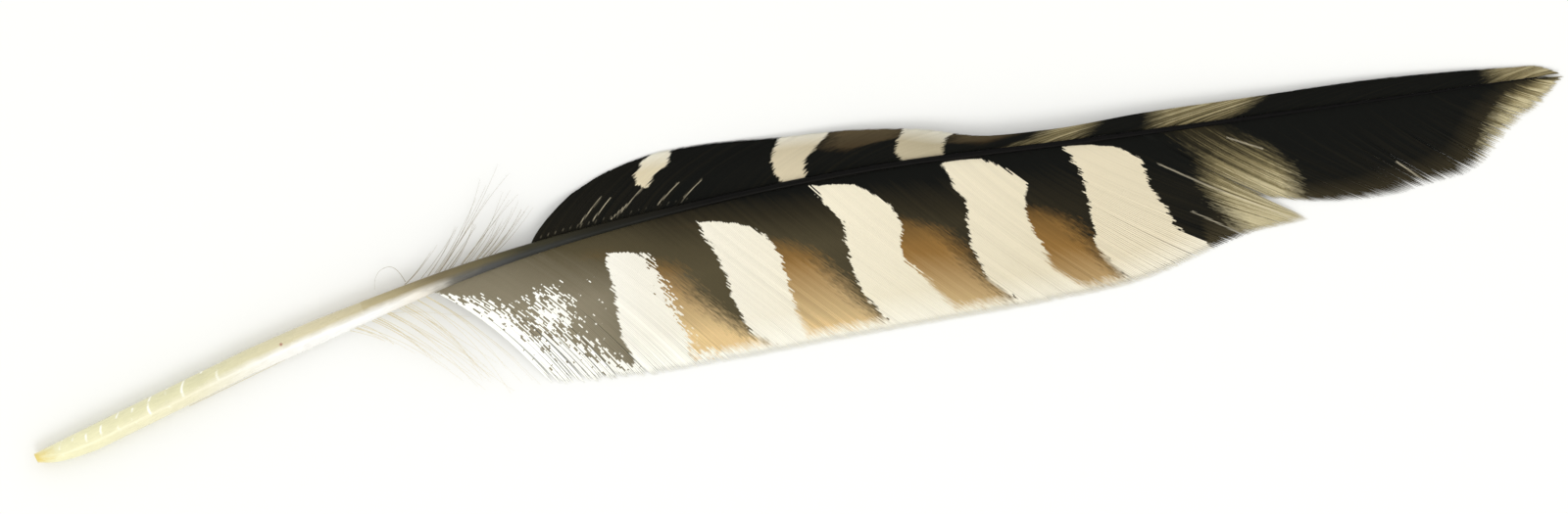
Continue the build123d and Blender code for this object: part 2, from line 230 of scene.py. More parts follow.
def scaled(shade, amount):
    return tuple(amount * c for c in shade)


FLECK_AT = (41.4, 0.25, 0.97)  # millimetres along the barrel, and where round it
# The pale bands' colour along the shaft: share, colour
PALE_INNER = [(0.14, paint(254, 254, 246, 0.97)), (0.23, paint(246, 242, 228, 0.90)),
              (0.40, paint(242, 234, 210, 0.90)),
              (0.62, paint(226, 215, 187, 0.92))]
PALE_OUTER = [(0.25, paint(238, 225, 192, 0.90)), (0.38, paint(224, 211, 180, 0.88)),
              (0.49, paint(198, 186, 155, 0.86))]


class QuillSizes(bpy.types.PropertyGroup):
    inner_pitch: FloatProperty(
        name="Inner Barb Pitch", description="Distance along the shaft between barbs of the wide web",
        default=0.24 * MILLIMETRE, unit="LENGTH", precision=5)
    outer_pitch: FloatProperty(
        name="Outer Barb Pitch", description="Distance along the shaft between barbs of the narrow web",
        default=0.28 * MILLIMETRE, unit="LENGTH", precision=5)
    overlap: FloatProperty(
        name="Barb Overlap", description="How much wider each barb is than its share of the web",
        default=1.35, min=0.2, max=2, subtype="FACTOR")
    ridge: FloatProperty(
        name="Ridge Height", description="Height of a barb's ridge as a share of its half width",
        default=0.30, min=0.05, max=1, subtype="FACTOR")
    scatter: FloatProperty(
        name="Tip Scatter", description="How unevenly long the barbs are",
        default=0.35 * MILLIMETRE, unit="LENGTH", precision=5)
    ruffle: FloatProperty(
        name="Ruffle", description="How far single barbs stand out of the web's surface",
        default=0.05 * MILLIMETRE, unit="LENGTH", precision=5)
    down_thickness: FloatProperty(
        name="Down Thickness", description="Thickness of a down barb at its root",
        default=0.09 * MILLIMETRE, unit="LENGTH", precision=5)
    barbule_length: FloatProperty(
        name="Down Barbule Length", description="Length of the fine hairs along a down barb",
        default=0.45 * MILLIMETRE, unit="LENGTH", precision=5)
    seed: IntProperty(name="Seed", description="Seed of every random choice", default=7, min=0)


def colour(name, description, value):
    return FloatVectorProperty(name=name, description=description, default=value, subtype="COLOR", size=3,
                               min=0, max=1)


class QuillColours(bpy.types.PropertyGroup):
    bar_light: colour("Bar at the Base", "Grey-brown of the bars near the foot", paint(157, 148, 125))
    bar_mid: colour("Bar Midway", "Olive brown of the middle bars", paint(82, 74, 53))
    bar_black: colour("Bar at the Tip", "Black of the outer bars", paint(17, 18, 15))
    rust_shade: colour("Rust", "Rust behind the pale bands", paint(154, 116, 62))
    rust_edge: colour("Rust at the Margin", "Rust where it fades towards the margin", paint(214, 186, 136))
    tan_shade: colour("Tan", "Streaks and fringe near the tip", paint(150, 137, 98))
    tan_light: colour("Light Tan", "Lightest streaks near the tip", paint(212, 200, 160))
    horn: colour("Horn", "Cream of the barrel", paint(233, 229, 186, 0.95))
    horn_foot: colour("Horn at the Foot", "Amber of the barrel's lower end", paint(238, 216, 128))
    membrane: colour("Membrane", "Dry cups inside the barrel", paint(250, 248, 236))
    pith: colour("Pith", "Foam inside the shaft", paint(244, 240, 224))
    down: colour("Down", "Loose barbs at the base of the webs", paint(176, 168, 150))


# Geometry


def smooth(pairs, at):
    """Values of the smooth line through the pairs, which runs on straight past its last one."""
    xs, ys = np.array(pairs, float).T
    at = np.asarray(at, float)
    gaps = np.diff(xs)
    rises = np.diff(ys) / gaps
    within = (rises[1:] * gaps[:-1] + rises[:-1] * gaps[1:]) / (gaps[:-1] + gaps[1:])
    slopes = np.concatenate([rises[:1], within, rises[-1:]])
    i = np.clip(np.searchsorted(xs, at, side="right") - 1, 0, len(gaps) - 1)
    t = (at - xs[i]) / gaps[i]
    from_value = (2 * t**3 - 3 * t**2 + 1) * ys[i] + (t**3 - 2 * t**2 + t) * gaps[i] * slopes[i]
    to_value = (3 * t**2 - 2 * t**3) * ys[i + 1] + (t**3 - t**2) * gaps[i] * slopes[i + 1]
    value = np.where(at <= xs[0], ys[0], from_value + to_value)
    return np.where(at >= xs[-1], ys[-1] + rises[-1] * (at - xs[-1]), value)


def between(pairs, at):
    """Values of the straight-sided line through the pairs."""
    xs, ys = np.array(pairs, float).T
    return np.interp(at, xs, ys)


def unit(vectors):
    return vectors / np.linalg.norm(vectors, axis=-1, keepdims=True)


def to_row(points):
    """Millimetres from the feather's foot to metres in the model's frame."""
    return (np.asarray(points, float) - BARREL_MIDDLE) * MILLIMETRE + MOUNT


def on_shaft(share):
    return PITH_START + (1 - PITH_START) * np.asarray(share, float)


def shaft_points(station):
    station = np.asarray(station, float)
    return np.stack([BARREL_END + CURVED * station, CURVED * smooth(SIDEWAYS, station),
                     BARREL_RADIUS + ARCH_HEIGHT * smooth(LIFT, station)], axis=-1)


def shaft_frames(station):
    """Along the shaft, towards its outer side, and up across it."""
    step = 0.002
    along = unit(shaft_points(station + step) - shaft_points(np.maximum(station - step, 0)))
    aside = unit(np.cross([0, 0, 1], along))
    return along, aside, np.cross(along, aside)


def half_width(station):
    return BARREL_RADIUS * smooth(HALF_WIDTH, station)


def half_height(station):
    return BARREL_RADIUS * smooth(HALF_HEIGHT, station)


def shaft_rings(stations, skin, sides):
    """Rings across the shaft, skin millimetres inside its surface, flattened and grooved past the barrel."""
    stations = np.asarray(stations, float)
    turn = 2 * math.pi * np.arange(sides) / sides
    width = (half_width(stations) - skin)[:, None]
    height = (half_height(stations) - skin)[:, None]
    flatness = np.clip(2 * stations / PITH_START - 1, 0, 1)[:, None]
    groove = GROOVE_DEPTH * np.clip(stations / PITH_START - 1, 0, 1)[:, None]
    squareness = 1 - 0.25 * flatness
    across = width * np.sign(np.sin(turn)) * np.abs(np.sin(turn)) ** squareness
    up = height * np.sign(np.cos(turn)) * np.abs(np.cos(turn)) ** squareness
    groove_half = 0.35 * width
    in_groove = (np.abs(across) < groove_half) & (np.cos(turn) < 0)
    up = up + np.where(in_groove, groove * height * (1 - (across / groove_half) ** 2), 0)
    _, aside, upward = shaft_frames(stations)
    return shaft_points(stations)[:, None] + across[..., None] * aside[:, None] + up[..., None] * upward[:,
                                                                                                         None]


def foot_rings(xs, skin, sides):
    """Rings of the tapering foot and the straight barrel, skin millimetres inside their surface."""
    turn = 2 * math.pi * np.arange(sides) / sides
    share = np.clip(np.asarray(xs, float) / TAPER_LENGTH, 0, 1)
    low = BARREL_RADIUS * smooth(TAPER_LOW, share)
    high = BARREL_RADIUS * smooth(TAPER_HIGH, share)
    radius = (high - low) / 2 - skin
    middle = (high + low) / 2
    across = middle[:, None] + radius[:, None] * np.sin(turn)
    up = BARREL_RADIUS + radius[:, None] * np.cos(turn)
    along = np.broadcast_to(np.asarray(xs, float)[:, None], across.shape)
    return np.stack([along, across, up], axis=-1)


def ring_faces(rings, sides, wrapped):
    """Faces between each ring and the next, facing away from a tube whose rings run along it."""
    faces = []
    for i in range(rings if wrapped else rings - 1):
        here, there = i * sides, (i + 1) % rings * sides
        for j in range(sides):
            k = (j + 1) % sides
            faces.append((here + j, here + k, there + k, there + j))
    return faces


def make_piece(name, points, faces=(), edges=(), values=None):
    """An object whose mesh holds its place, with a value of each name at every point."""
    mesh = bpy.data.meshes.new(name)
    mesh.from_pydata(to_row(points).tolist(), list(edges), list(faces))
    for label, numbers in (values or {}).items():
        layer = mesh.attributes.new(label, "FLOAT", "POINT")
        layer.data.foreach_set("value", np.ravel(numbers).astype(np.float32))
    mesh.shade_smooth()
    mesh.set_sharp_from_angle(angle=math.radians(50))
    piece = bpy.data.objects.new(name, mesh)
    bpy.context.scene.collection.objects.link(piece)
    return piece


def face_outwards(mesh):
    """Turns every face round if the mesh, closed and of one kind throughout, is inside out."""
    points = np.empty(3 * len(mesh.vertices))
    mesh.vertices.foreach_get("co", points)
    mesh.calc_loop_triangles()
    corners = np.empty(3 * len(mesh.loop_triangles), int)
    mesh.loop_triangles.foreach_get("vertices", corners)
    a, b, c = points.reshape(-1, 3)[corners.reshape(-1, 3)].transpose(1, 0, 2)
    middle = points.reshape(-1, 3).mean(axis=0)
    if np.einsum("ij,ij->i", a - middle, np.cross(b - middle, c - middle)).sum() < 0:
        mesh.flip_normals()


def settle(piece, material, slot, *nodes):
    """Gives a finished piece its material, its body and the nodes it stands for; slot, the name of its finish, is
    not used.
    """
    if material and not piece.data.materials:
        piece.data.materials.append(material)
    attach(piece, BODY)
    if nodes:
        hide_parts(*nodes)


# Nodes


def put(tree, kind, inputs=None, **settings):
    """Adds a node; an input is a value or the socket that feeds it."""
    node = tree.nodes.new(kind)
    for label, value in settings.items():
        setattr(node, label, value)
    for label, value in (inputs or {}).items():
        if isinstance(value, bpy.types.NodeSocket):
            tree.links.new(value, node.inputs[label])
        else:
            node.inputs[label].default_value = value
    return node


def maths(tree, operation, *values, clamp=False):
    """A maths node in a shader or geometry tree, and its result."""
    node = put(tree, "ShaderNodeMath", dict(enumerate(values)), operation=operation, use_clamp=clamp)
    return node.outputs[0]


def plus(tree, *values, clamp=False):
    return maths(tree, "ADD", *values, clamp=clamp)


def minus(tree, *values, clamp=False):
    return maths(tree, "SUBTRACT", *values, clamp=clamp)


def times(tree, *values, clamp=False):
    return maths(tree, "MULTIPLY", *values, clamp=clamp)


def socket_in(tree, label, kind, value=None):
    socket = tree.interface.new_socket(name=label, in_out="INPUT", socket_type="NodeSocket" + kind)
    if value is not None:
        socket.default_value = value
    return socket


def new_group(label, kind, inputs, outputs):
    """A node group with named sockets, its inputs' node and its outputs' node."""
    tree = bpy.data.node_groups.new(label, kind)
    for name, form, value in inputs:
        socket_in(tree, name, form, value)
    for name, form in outputs:
        tree.interface.new_socket(name=name, in_out="OUTPUT", socket_type="NodeSocket" + form)
    return tree, tree.nodes.new("NodeGroupInput").outputs, tree.nodes.new("NodeGroupOutput")


def named(tree, label):
    """In a geometry tree, the numbers kept under a name at each point."""
    return put(tree, "GeometryNodeInputNamedAttribute", {"Name": label},
               data_type="FLOAT").outputs["Attribute"]


def end_tree(tree, geometry, material, result):
    """Ends a geometry tree: instances made real, and the material set."""
    real = put(tree, "GeometryNodeRealizeInstances", {"Geometry": geometry})
    finished = put(tree, "GeometryNodeSetMaterial", {"Geometry": real.outputs[0], "Material": material})
    tree.links.new(finished.outputs[0], result.inputs[0])
    return tree


def barb_tree():
    """Sweeps each line into a barb with a ridge on top, as wide as its points' half_width says."""
    tree, given, result = new_group(
        "Barb Sweep", "GeometryNodeTree",
        [("Geometry", "Geometry", None), ("Overlap", "Float", 1.12), ("Ridge", "Float", 0.42),
         ("Ruffle", "Float", 0.0), ("Seed", "Int", 7), ("Material", "Material", None)],
        [("Geometry", "Geometry")])
    chance = put(tree, "FunctionNodeRandomValue", {"Seed": given["Seed"]}, data_type="FLOAT")
    tree.links.new(put(tree, "FunctionNodeFloatToInt", {0: named(tree, "strand")}).outputs[0],
                   chance.inputs["ID"])
    lift = times(tree, minus(tree, chance.outputs[1], 0.5), given["Ruffle"])
    lift = times(tree, lift, named(tree, "fray"))
    moved = put(tree, "GeometryNodeSetPosition", {
        "Geometry": given["Geometry"], "Offset": put(tree, "ShaderNodeCombineXYZ", {"Z": lift}).outputs[0]})
    lines = put(tree, "GeometryNodeMeshToCurve", {"Mesh": moved.outputs[0]})
    upright = put(tree, "GeometryNodeSetCurveNormal", {"Curve": lines.outputs[0]}, mode="Z_UP")
    wide = times(tree, named(tree, "half_width"), given["Overlap"])
    ring = put(tree, "GeometryNodeCurvePrimitiveCircle", {"Resolution": 4, "Radius": 1.0}, mode="RADIUS")
    place = put(tree, "ShaderNodeSeparateXYZ", {0: put(tree, "GeometryNodeInputPosition").outputs[0]})
    above = times(tree, maths(tree, "MAXIMUM", place.outputs["Y"], 0.0), given["Ridge"])
    below = times(tree, maths(tree, "MINIMUM", place.outputs["Y"], 0.0), 0.25)
    roof = put(tree, "ShaderNodeCombineXYZ", {"X": place.outputs["X"], "Y": plus(tree, above, below)})
    profile = put(tree, "GeometryNodeSetPosition", {"Geometry": ring.outputs[0], "Position": roof.outputs[0]})
    marked = put(tree, "GeometryNodeStoreNamedAttribute", {
        "Geometry": profile.outputs[0], "Name": "across", "Value": place.outputs["X"]},
        data_type="FLOAT", domain="POINT")
    swept = put(tree, "GeometryNodeCurveToMesh", {
        "Curve": upright.outputs[0], "Profile Curve": marked.outputs[0], "Scale": wide, "Fill Caps": True})
    return end_tree(tree, swept.outputs[0], given["Material"], result)


def down_tree():
    """Sweeps each line into a fine round barb and sets fine hairs along both its sides."""
    tree, given, result = new_group(
        "Down Sweep", "GeometryNodeTree",
        [("Geometry", "Geometry", None), ("Hair Length", "Float", 0.0007), ("Hair Spacing", "Float", 0.0006),
         ("Hair Thickness", "Float", 0.000006), ("Seed", "Int", 7), ("Material", "Material", None)],
        [("Geometry", "Geometry")])
    lines = put(tree, "GeometryNodeMeshToCurve", {"Mesh": given["Geometry"]})
    ring = put(tree, "GeometryNodeCurvePrimitiveCircle", {"Resolution": 5, "Radius": 1.0}, mode="RADIUS")
    swept = put(tree, "GeometryNodeCurveToMesh", {
        "Curve": lines.outputs[0], "Profile Curve": ring.outputs[0], "Scale": named(tree, "half_width"),
        "Fill Caps": True})
    needle = put(tree, "GeometryNodeMeshCone", {
        "Vertices": 3, "Radius Top": 0.0, "Radius Bottom": given["Hair Thickness"],
        "Depth": given["Hair Length"]})
    spots = put(tree, "GeometryNodeCurveToPoints", {
        "Curve": lines.outputs[0], "Length": given["Hair Spacing"]}, mode="LENGTH")
    joined = [swept.outputs[0]]
    for side in (-1, 1):
        sway = put(tree, "FunctionNodeRandomValue", {
            2: 0.55, 3: 1.15, "Seed": plus(tree, given["Seed"], side)}, data_type="FLOAT")
        turn = put(tree, "FunctionNodeAxisAngleToRotation", {
            "Axis": (0, 0, 1), "Angle": times(tree, sway.outputs[1], float(side))})
        heading = put(tree, "FunctionNodeAlignRotationToVector", {"Vector": spots.outputs["Tangent"]},
                      axis="Z")
        turned = put(tree, "FunctionNodeRotateRotation", {
            "Rotation": heading.outputs[0], "Rotate By": turn.outputs[0]}, rotation_space="GLOBAL")
        size = put(tree, "FunctionNodeRandomValue", {
            2: 0.5, 3: 1.0, "Seed": plus(tree, given["Seed"], 3 + side)}, data_type="FLOAT")
        hairs = put(tree, "GeometryNodeInstanceOnPoints", {
            "Points": spots.outputs[0], "Instance": needle.outputs[0], "Rotation": turned.outputs[0],
            "Scale": size.outputs[1]})
        joined.append(hairs.outputs[0])
    together = tree.nodes.new("GeometryNodeJoinGeometry")
    for socket in joined:
        tree.links.new(socket, together.inputs[0])
    return end_tree(tree, together.outputs[0], given["Material"], result)


def cup_tree():
    """Sets copies of a cup one behind another along X, closer together at first, each turned its own way."""
    tree, given, result = new_group(
        "Dry Cups", "GeometryNodeTree",
        [("Geometry", "Geometry", None), ("Count", "Int", 10), ("Start", "Vector", (0, 0, 0)),
         ("Reach", "Float", 0.02),
         ("Crowding", "Float", 1.0), ("Seed", "Int", 7), ("Material", "Material", None)],
        [("Geometry", "Geometry")])
    row = put(tree, "GeometryNodeMeshLine", {"Count": given["Count"], "Start Location": given["Start"]})
    place = tree.nodes.new("GeometryNodeInputIndex").outputs[0]
    share = maths(tree, "DIVIDE", place, minus(tree, given["Count"], 1.0))
    shift = times(tree, maths(tree, "POWER", share, given["Crowding"]), given["Reach"])
    spots = put(tree, "GeometryNodeSetPosition", {
        "Geometry": row.outputs[0], "Position": given["Start"],
        "Offset": put(tree, "ShaderNodeCombineXYZ", {"X": shift}).outputs[0]})
    spin = put(tree, "FunctionNodeRandomValue", {2: 0.0, 3: 2 * math.pi, "Seed": given["Seed"]},
               data_type="FLOAT")
    turn = put(tree, "FunctionNodeAxisAngleToRotation", {"Axis": (1, 0, 0), "Angle": spin.outputs[1]})
    cups = put(tree, "GeometryNodeInstanceOnPoints", {
        "Points": spots.outputs[0], "Instance": given["Geometry"], "Rotation": turn.outputs[0]})
    return end_tree(tree, cups.outputs[0], given["Material"], result)


def grown(piece, tree, inputs):
    """Replaces a piece's guide lines or pattern mesh by what the tree makes of them, as a plain mesh."""
    modifier = piece.modifiers.new(tree.name, "NODES")
    modifier.node_group = tree
    for item in tree.interface.items_tree:
        if item.name in inputs:
            modifier[item.identifier] = inputs[item.name]
    evaluated = piece.evaluated_get(bpy.context.evaluated_depsgraph_get())
    made = bpy.data.meshes.new_from_object(evaluated)
    piece.modifiers.remove(modifier)
    guide = piece.data
    made.name = guide.name
    piece.data = made
    bpy.data.meshes.remove(guide)
    made.name = piece.name
    made.materials.clear()
    made.materials.append(inputs["Material"])
    made.polygons.foreach_set("material_index", [0] * len(made.polygons))
    face_outwards(made)
    return piece


def kept_tree(maker, label):
    return bpy.data.node_groups.get(label) or maker()


# Webs


def turned(vectors, degrees):
    """Vectors on the level turned about Z."""
    angle = np.radians(degrees)[..., None]
    x, y = vectors[..., :1], vectors[..., 1:]
    return np.concatenate([x * np.cos(angle) - y * np.sin(angle), x * np.sin(angle) + y * np.cos(angle)],
                          axis=-1)


class Web:
    """One side of the feather: side is 1 for the outer web and -1 for the inner one."""

    def __init__(self, side, width, barbs, bow):
        self.side = side
        self.width = width
        self.bow = bow
        self.ends = [(root, tip) for root, tip, _ in barbs]
        self.reaches = [(root, reach) for root, _, reach in barbs]

    def reach(self, share):
        return self.width * smooth(self.reaches, share)

    def away(self, station):
        """Level, and straight away from the shaft."""
        _, aside, _ = shaft_frames(station)
        return unit(aside * [1, 1, 0]) * self.side

    def root(self, share):
        station = on_shaft(share)
        aside = self.away(station) * (half_width(station) + ROOT_GAP)[..., None]
        rise = np.zeros(aside.shape)
        rise[..., 2] = ROOT_RISE * half_height(station)
        return shaft_points(station) + aside + rise

    def tip(self, share):
        end = on_shaft(smooth(self.ends, share))
        spot = shaft_points(end) + self.away(end) * self.reach(share)[..., None]
        spot[..., 2] = WEB_THICKNESS / 2
        if self.side > 0:
            fall = self.root(share)[..., 2] - WEB_SLOPE * self.reach(share)
            spot[..., 2] = np.maximum(spot[..., 2], fall)
        return spot

    def points(self, share, along):
        """Points along barbs; share and along are arrays of one shape, barb by barb."""
        share, along = np.broadcast_arrays(np.asarray(share, float), along)
        root, tip = self.root(share), self.tip(share)
        run = (tip - root)[..., :2]
        lead = turned(run, self.side * smooth(self.bow, share)) * LEAD
        part = along[..., None]
        level = root[..., :2] + lead * (2 * part * (1 - part)) + run * part**2
        height = tip[..., 2] + (root - tip)[..., 2] * (1 - along**CAMBER)
        return np.concatenate([level, height[..., None]], axis=-1)


def feather_place(points):
    """The share of the shaft that points stand abreast of, and how many millimetres out they are."""
    shares = np.linspace(-0.12, 1.06, 2400)
    line = shaft_points(on_shaft(shares))[:, :2]
    flat = points[..., :2].reshape(-1, 2)
    nearest = np.concatenate([
        ((part[:, None] - line) ** 2).sum(axis=-1).argmin(axis=-1) for part in np.array_split(flat, 40)])
    out = np.linalg.norm(flat - line[nearest], axis=-1)
    return shares[nearest].reshape(points.shape[:-1]), out.reshape(points.shape[:-1])


def band(place, out, left, right):
    """How far inside the band between two edges a place is, in millimetres along the shaft."""
    return np.minimum(place - between(left, out), between(right, out) - place) * RACHIS_LENGTH


def glint(place, out, glints, half):
    """How far inside the nearest of these single barbs painted pale as highlights a place is."""
    inside = np.full(place.shape, -2.0)
    for from_share, from_out, to_share, to_out in glints:
        start = np.array([from_share * RACHIS_LENGTH, from_out])
        run = np.array([to_share * RACHIS_LENGTH, to_out]) - start
        spot = np.stack([place * RACHIS_LENGTH, out], axis=-1) - start
        part = np.clip(spot @ run / (run @ run), 0, 1)
        inside = np.maximum(inside, half - np.linalg.norm(spot - part[..., None] * run, axis=-1))
    return inside


def inner_ink(place, out, reach):
    """How dark the inner web is, paler out from the shaft and along the margin near the tip."""
    outward = np.clip(out / 10, 0, 1) * (between(INK_WELL_OUT, place) - between(INK_AT_SHAFT, place))
    margin = 0.3 * np.clip(1 - (reach - out) / 4, 0, 1) * (place > 0.7)
    return between(INK_AT_SHAFT, place) + outward - margin


def inner_marks_and_highlights(place, out, reach, jitter):
    """How far inside each marking and painted highlight a point of the inner web is, its edges and its ink."""
    spot = place + jitter / RACHIS_LENGTH
    bars = [band(spot, out, *edges) for edges in INNER_PALE]
    base = out + jitter - between(BASE_LIMIT, place)
    share, middle, radius = BASE_PATCH
    patch = radius - np.hypot((spot - share) * RACHIS_LENGTH, out - middle)
    margin = between(INNER_MARGIN, place) - (reach - out) + jitter * 0.5
    at_base = np.maximum(base, patch)
    pale = np.max([*bars, at_base, margin], axis=0)
    before_bars = (between(INNER_PALE[0][0], out) - spot) * RACHIS_LENGTH
    ragged = 0.55 + 6.5 * np.clip(before_bars / 2.5 - 0.3, 0, 1) * np.clip(out / 5 - 0.3, 0, 1)
    beyond = np.abs(spot - between(INNER_PALE[0][1], out)) * RACHIS_LENGTH
    ragged = np.maximum(ragged, np.where((place < 0.29) & (beyond < 4) & (out > 5), 2.2, 0))
    ragged = np.maximum(ragged, np.where(place < 0.68, np.clip(2.2 - (reach - out) * 0.6, 0, 1.1), 0))
    rust = np.max([band(spot + RUST_START, out, pale_bar[1], np.array(edge) + [0, RUST_START])
                   for pale_bar, edge in zip(INNER_PALE, INNER_RUST)], axis=0)
    tan = np.max([band(spot, out, *edges) for edges in INNER_TAN], axis=0)
    soft = 0.25 + np.where(rust > -0.5, 1.5 * np.clip(1.3 - (reach - out) / 6, 0, 1), 0)
    return pale, rust, tan, ragged, soft, glint(place, out, INNER_GLINTS, 0.10), inner_ink(place, out, reach)


def outer_marks_and_highlights(place, out, reach, jitter):
    spot = place + jitter / RACHIS_LENGTH
    pale = np.max([band(spot, out, *edges) for edges in OUTER_PALE], axis=0)
    rust = np.max([band(spot, out, *edges) for edges in OUTER_RUST], axis=0)
    tan = np.max([band(spot, out, *edges) for edges in OUTER_TAN], axis=0)
    dark = between(OUTER_INK, place)
    even = np.ones(place.shape)
    return pale, rust, tan, 0.4 * even, 0.4 * even, glint(place, out, OUTER_GLINTS, 0.07), dark


def lay_barbs(name, web, partings, number, first_strand, pitch, count_along, sizes, sway, dice):
    """The guide lines of one bundle of barbs, with what the sweep and the colouring need at each point."""
    start, end = partings[number], partings[number + 1]
    count = max(3, round((end - start) * RACHIS_LENGTH / pitch))
    roots = start + (end - start) * (np.arange(count) + 0.5) / count
    lengths = np.linalg.norm(web.tip(roots) - web.root(roots), axis=-1)
    fringed = between(INNER_FRINGE, roots) if web.side < 0 else 0.35
    scatter = sizes.scatter / MILLIMETRE * fringed
    ends = 1 - np.minimum(np.abs(dice.normal(0, 1, count)) * scatter / lengths, 0.25)
    along = np.linspace(0, 1, count_along)[None] * ends[:, None]
    drift = np.interp(roots, np.linspace(0, 1, len(sway)), sway) * SWAY * fringed
    drift = drift + dice.normal(0, OWN_SWAY, count) * fringed
    shares = np.clip(roots[:, None] + drift[:, None] * along**2 / RACHIS_LENGTH, partings[0], partings[-1])
    points = web.points(shares, along)
    step = (end - start) / count
    beside = web.points(roots[:, None] + step, along) - web.points(roots[:, None], along)
    heading = unit(np.gradient(points, axis=1))
    spacing = np.linalg.norm(np.cross(beside, heading), axis=-1)
    point_length = between([(0, 0.04), (0.6, 0.05), (0.75, 0.10), (1, 0.16)], roots) if web.side < 0 else 0.05
    taper = np.clip((1 - along / ends[:, None]) / np.reshape(point_length, (-1, 1)), 0.1, 1)
    towards_shaft = web.away(on_shaft(roots))[:, None] * (-(ROOT_GAP + ROOT_DEPTH) * (1 - along[...,
                                                                                                None]) ** ROOT_FADE)
    points = points + towards_shaft
    place, out = feather_place(points)
    reach = np.broadcast_to(web.reach(roots)[:, None], out.shape)
    jitter = dice.normal(0, MARK_SCATTER, count)[:, None]
    marks = inner_marks_and_highlights if web.side < 0 else outer_marks_and_highlights
    pale, rust, tan, ragged, soft, painted_glint, dark = marks(place, out, reach, jitter)
    if web.side > 0:
        # comb: every fourth outer barb painted pale near the shaft, a painted highlight on the ridges by the shaft
        comb = (np.arange(count) % 4 == 0)[:, None] & (place > 0.16) & (place < 0.29)
        off = np.abs(out - half_width(on_shaft(place)) - 0.5)
        painted_glint = np.maximum(painted_glint, np.where(comb, -0.035 - 0.12 * off, -2))
    run = np.concatenate([np.zeros((count, 1)), np.cumsum(np.linalg.norm(np.diff(points, axis=1), axis=-1),
                                                          axis=1)], axis=1)
    strand = np.broadcast_to(first_strand + np.arange(count)[:, None], out.shape)
    values = {
        "half_width": spacing * taper / 2 * MILLIMETRE, "pale": np.clip(pale, -4, 4),
        "rust": np.clip(rust, -4, 4),
        "tan": np.clip(tan, -4, 4), "ragged": ragged, "soft": soft, "painted_glint": np.clip(painted_glint, -2, 2),
        "ink": dark,
        "place": place, "out": out / np.maximum(reach, 1), "run": run, "strand": strand, "fray": along**2}
    lines = [(i * count_along + j, i * count_along + j + 1)
             for i in range(count) for j in range(count_along - 1)]
    return make_piece(name, points.reshape(-1, 3), edges=lines, values=values), count


# Materials


def read(tree, label):
    """In a material, the numbers kept under a name at each point."""
    return put(tree, "ShaderNodeAttribute", attribute_name=label).outputs["Fac"]


def ramp(tree, at, stops):
    node = put(tree, "ShaderNodeValToRGB", {0: at})
    elements = node.color_ramp.elements
    elements.remove(elements[1])
    elements[0].position = stops[0][0]
    elements[0].color = (*stops[0][1], 1)
    for place, shade in stops[1:]:
        elements.new(place).color = (*shade, 1)
    return node.outputs[0]


def mix(tree, amount, under, over, blend="MIX"):
    node = put(tree, "ShaderNodeMix", {0: amount}, data_type="RGBA", blend_type=blend)
    for index, value in ((6, under), (7, over)):
        if isinstance(value, bpy.types.NodeSocket):
            tree.links.new(value, node.inputs[index])
        else:
            node.inputs[index].default_value = (*value, 1)
    return node.outputs[2]


def lightened(tree, shade, light):
    """A colour times a number about 1."""
    grey = put(tree, "ShaderNodeCombineColor", {0: light, 1: light, 2: light}).outputs[0]
    return mix(tree, 1.0, shade, grey, "MULTIPLY")


def noise(tree, vector, scale, detail=2.0):
    """Noise about 0, mostly within 0.5 of it."""
    node = put(tree, "ShaderNodeTexNoise", {"Vector": vector, "Scale": scale, "Detail": detail})
    return minus(tree, node.outputs[0], 0.5)


def edge_group():
    """How much of a marking shows, from how far inside its edge a point is."""
    tree, given, result = new_group(
        "Marking Edge", "ShaderNodeTree",
        [("Distance", "Float", 0.0), ("Noise", "Float", 0.0), ("Ragged", "Float", 0.3),
         ("Softness", "Float", 0.2)],
        [("Mask", "Float")])
    shifted = plus(tree, given["Distance"], times(tree, given["Noise"], given["Ragged"]))
    tree.links.new(plus(tree, maths(tree, "DIVIDE", shifted, given["Softness"]), 0.5, clamp=True),
                   result.inputs[0])
    return tree


def barb_group():
    """What a barb's face shows: dashes along it, its own tone, its barbules, and how far it is from the groove
    beside it, where the material paints shade.
    """
    tree, given, result = new_group(
        "Barb Grain", "ShaderNodeTree",
        [("Run", "Float", 0.0), ("Strand", "Float", 0.0), ("Across", "Float", 0.0),
         ("Barbule Pitch", "Float", 0.14)],
        [("Dashes", "Float"), ("Tone", "Float"), ("Barbules", "Float"), ("Ridge", "Float")])
    spot = put(tree, "ShaderNodeCombineXYZ", {
        "X": times(tree, given["Run"], 0.6), "Y": times(tree, given["Strand"], 0.83)})
    dashes = times(tree, noise(tree, spot.outputs[0], 1.0, 3.0), 3.2)
    own = put(tree, "ShaderNodeTexWhiteNoise", {"W": given["Strand"]}, noise_dimensions="1D").outputs[0]
    tuft = put(tree, "ShaderNodeTexNoise", {"W": times(tree, given["Strand"], 0.21), "Scale": 1.0},
               noise_dimensions="1D").outputs[0]
    tone = minus(tree, plus(tree, times(tree, own, 0.5), tuft), 0.75)
    sides = maths(tree, "ABSOLUTE", given["Across"])
    slant = plus(tree, given["Run"], times(tree, sides, 0.18))
    turn = times(tree, maths(tree, "DIVIDE", slant, given["Barbule Pitch"]), 2 * math.pi)
    barbules = plus(tree, times(tree, maths(tree, "SINE", turn), 0.5), 0.5)
    # 1 on the barb's crest, 0 at its sides: the material darkens towards the sides as painted shade in the grooves
    # between barbs
    ridge = minus(tree, 1.0, maths(tree, "POWER", sides, 1.6), clamp=True)
    for index, socket in enumerate((dashes, tone, barbules, ridge)):
        tree.links.new(socket, result.inputs[index])
    return tree


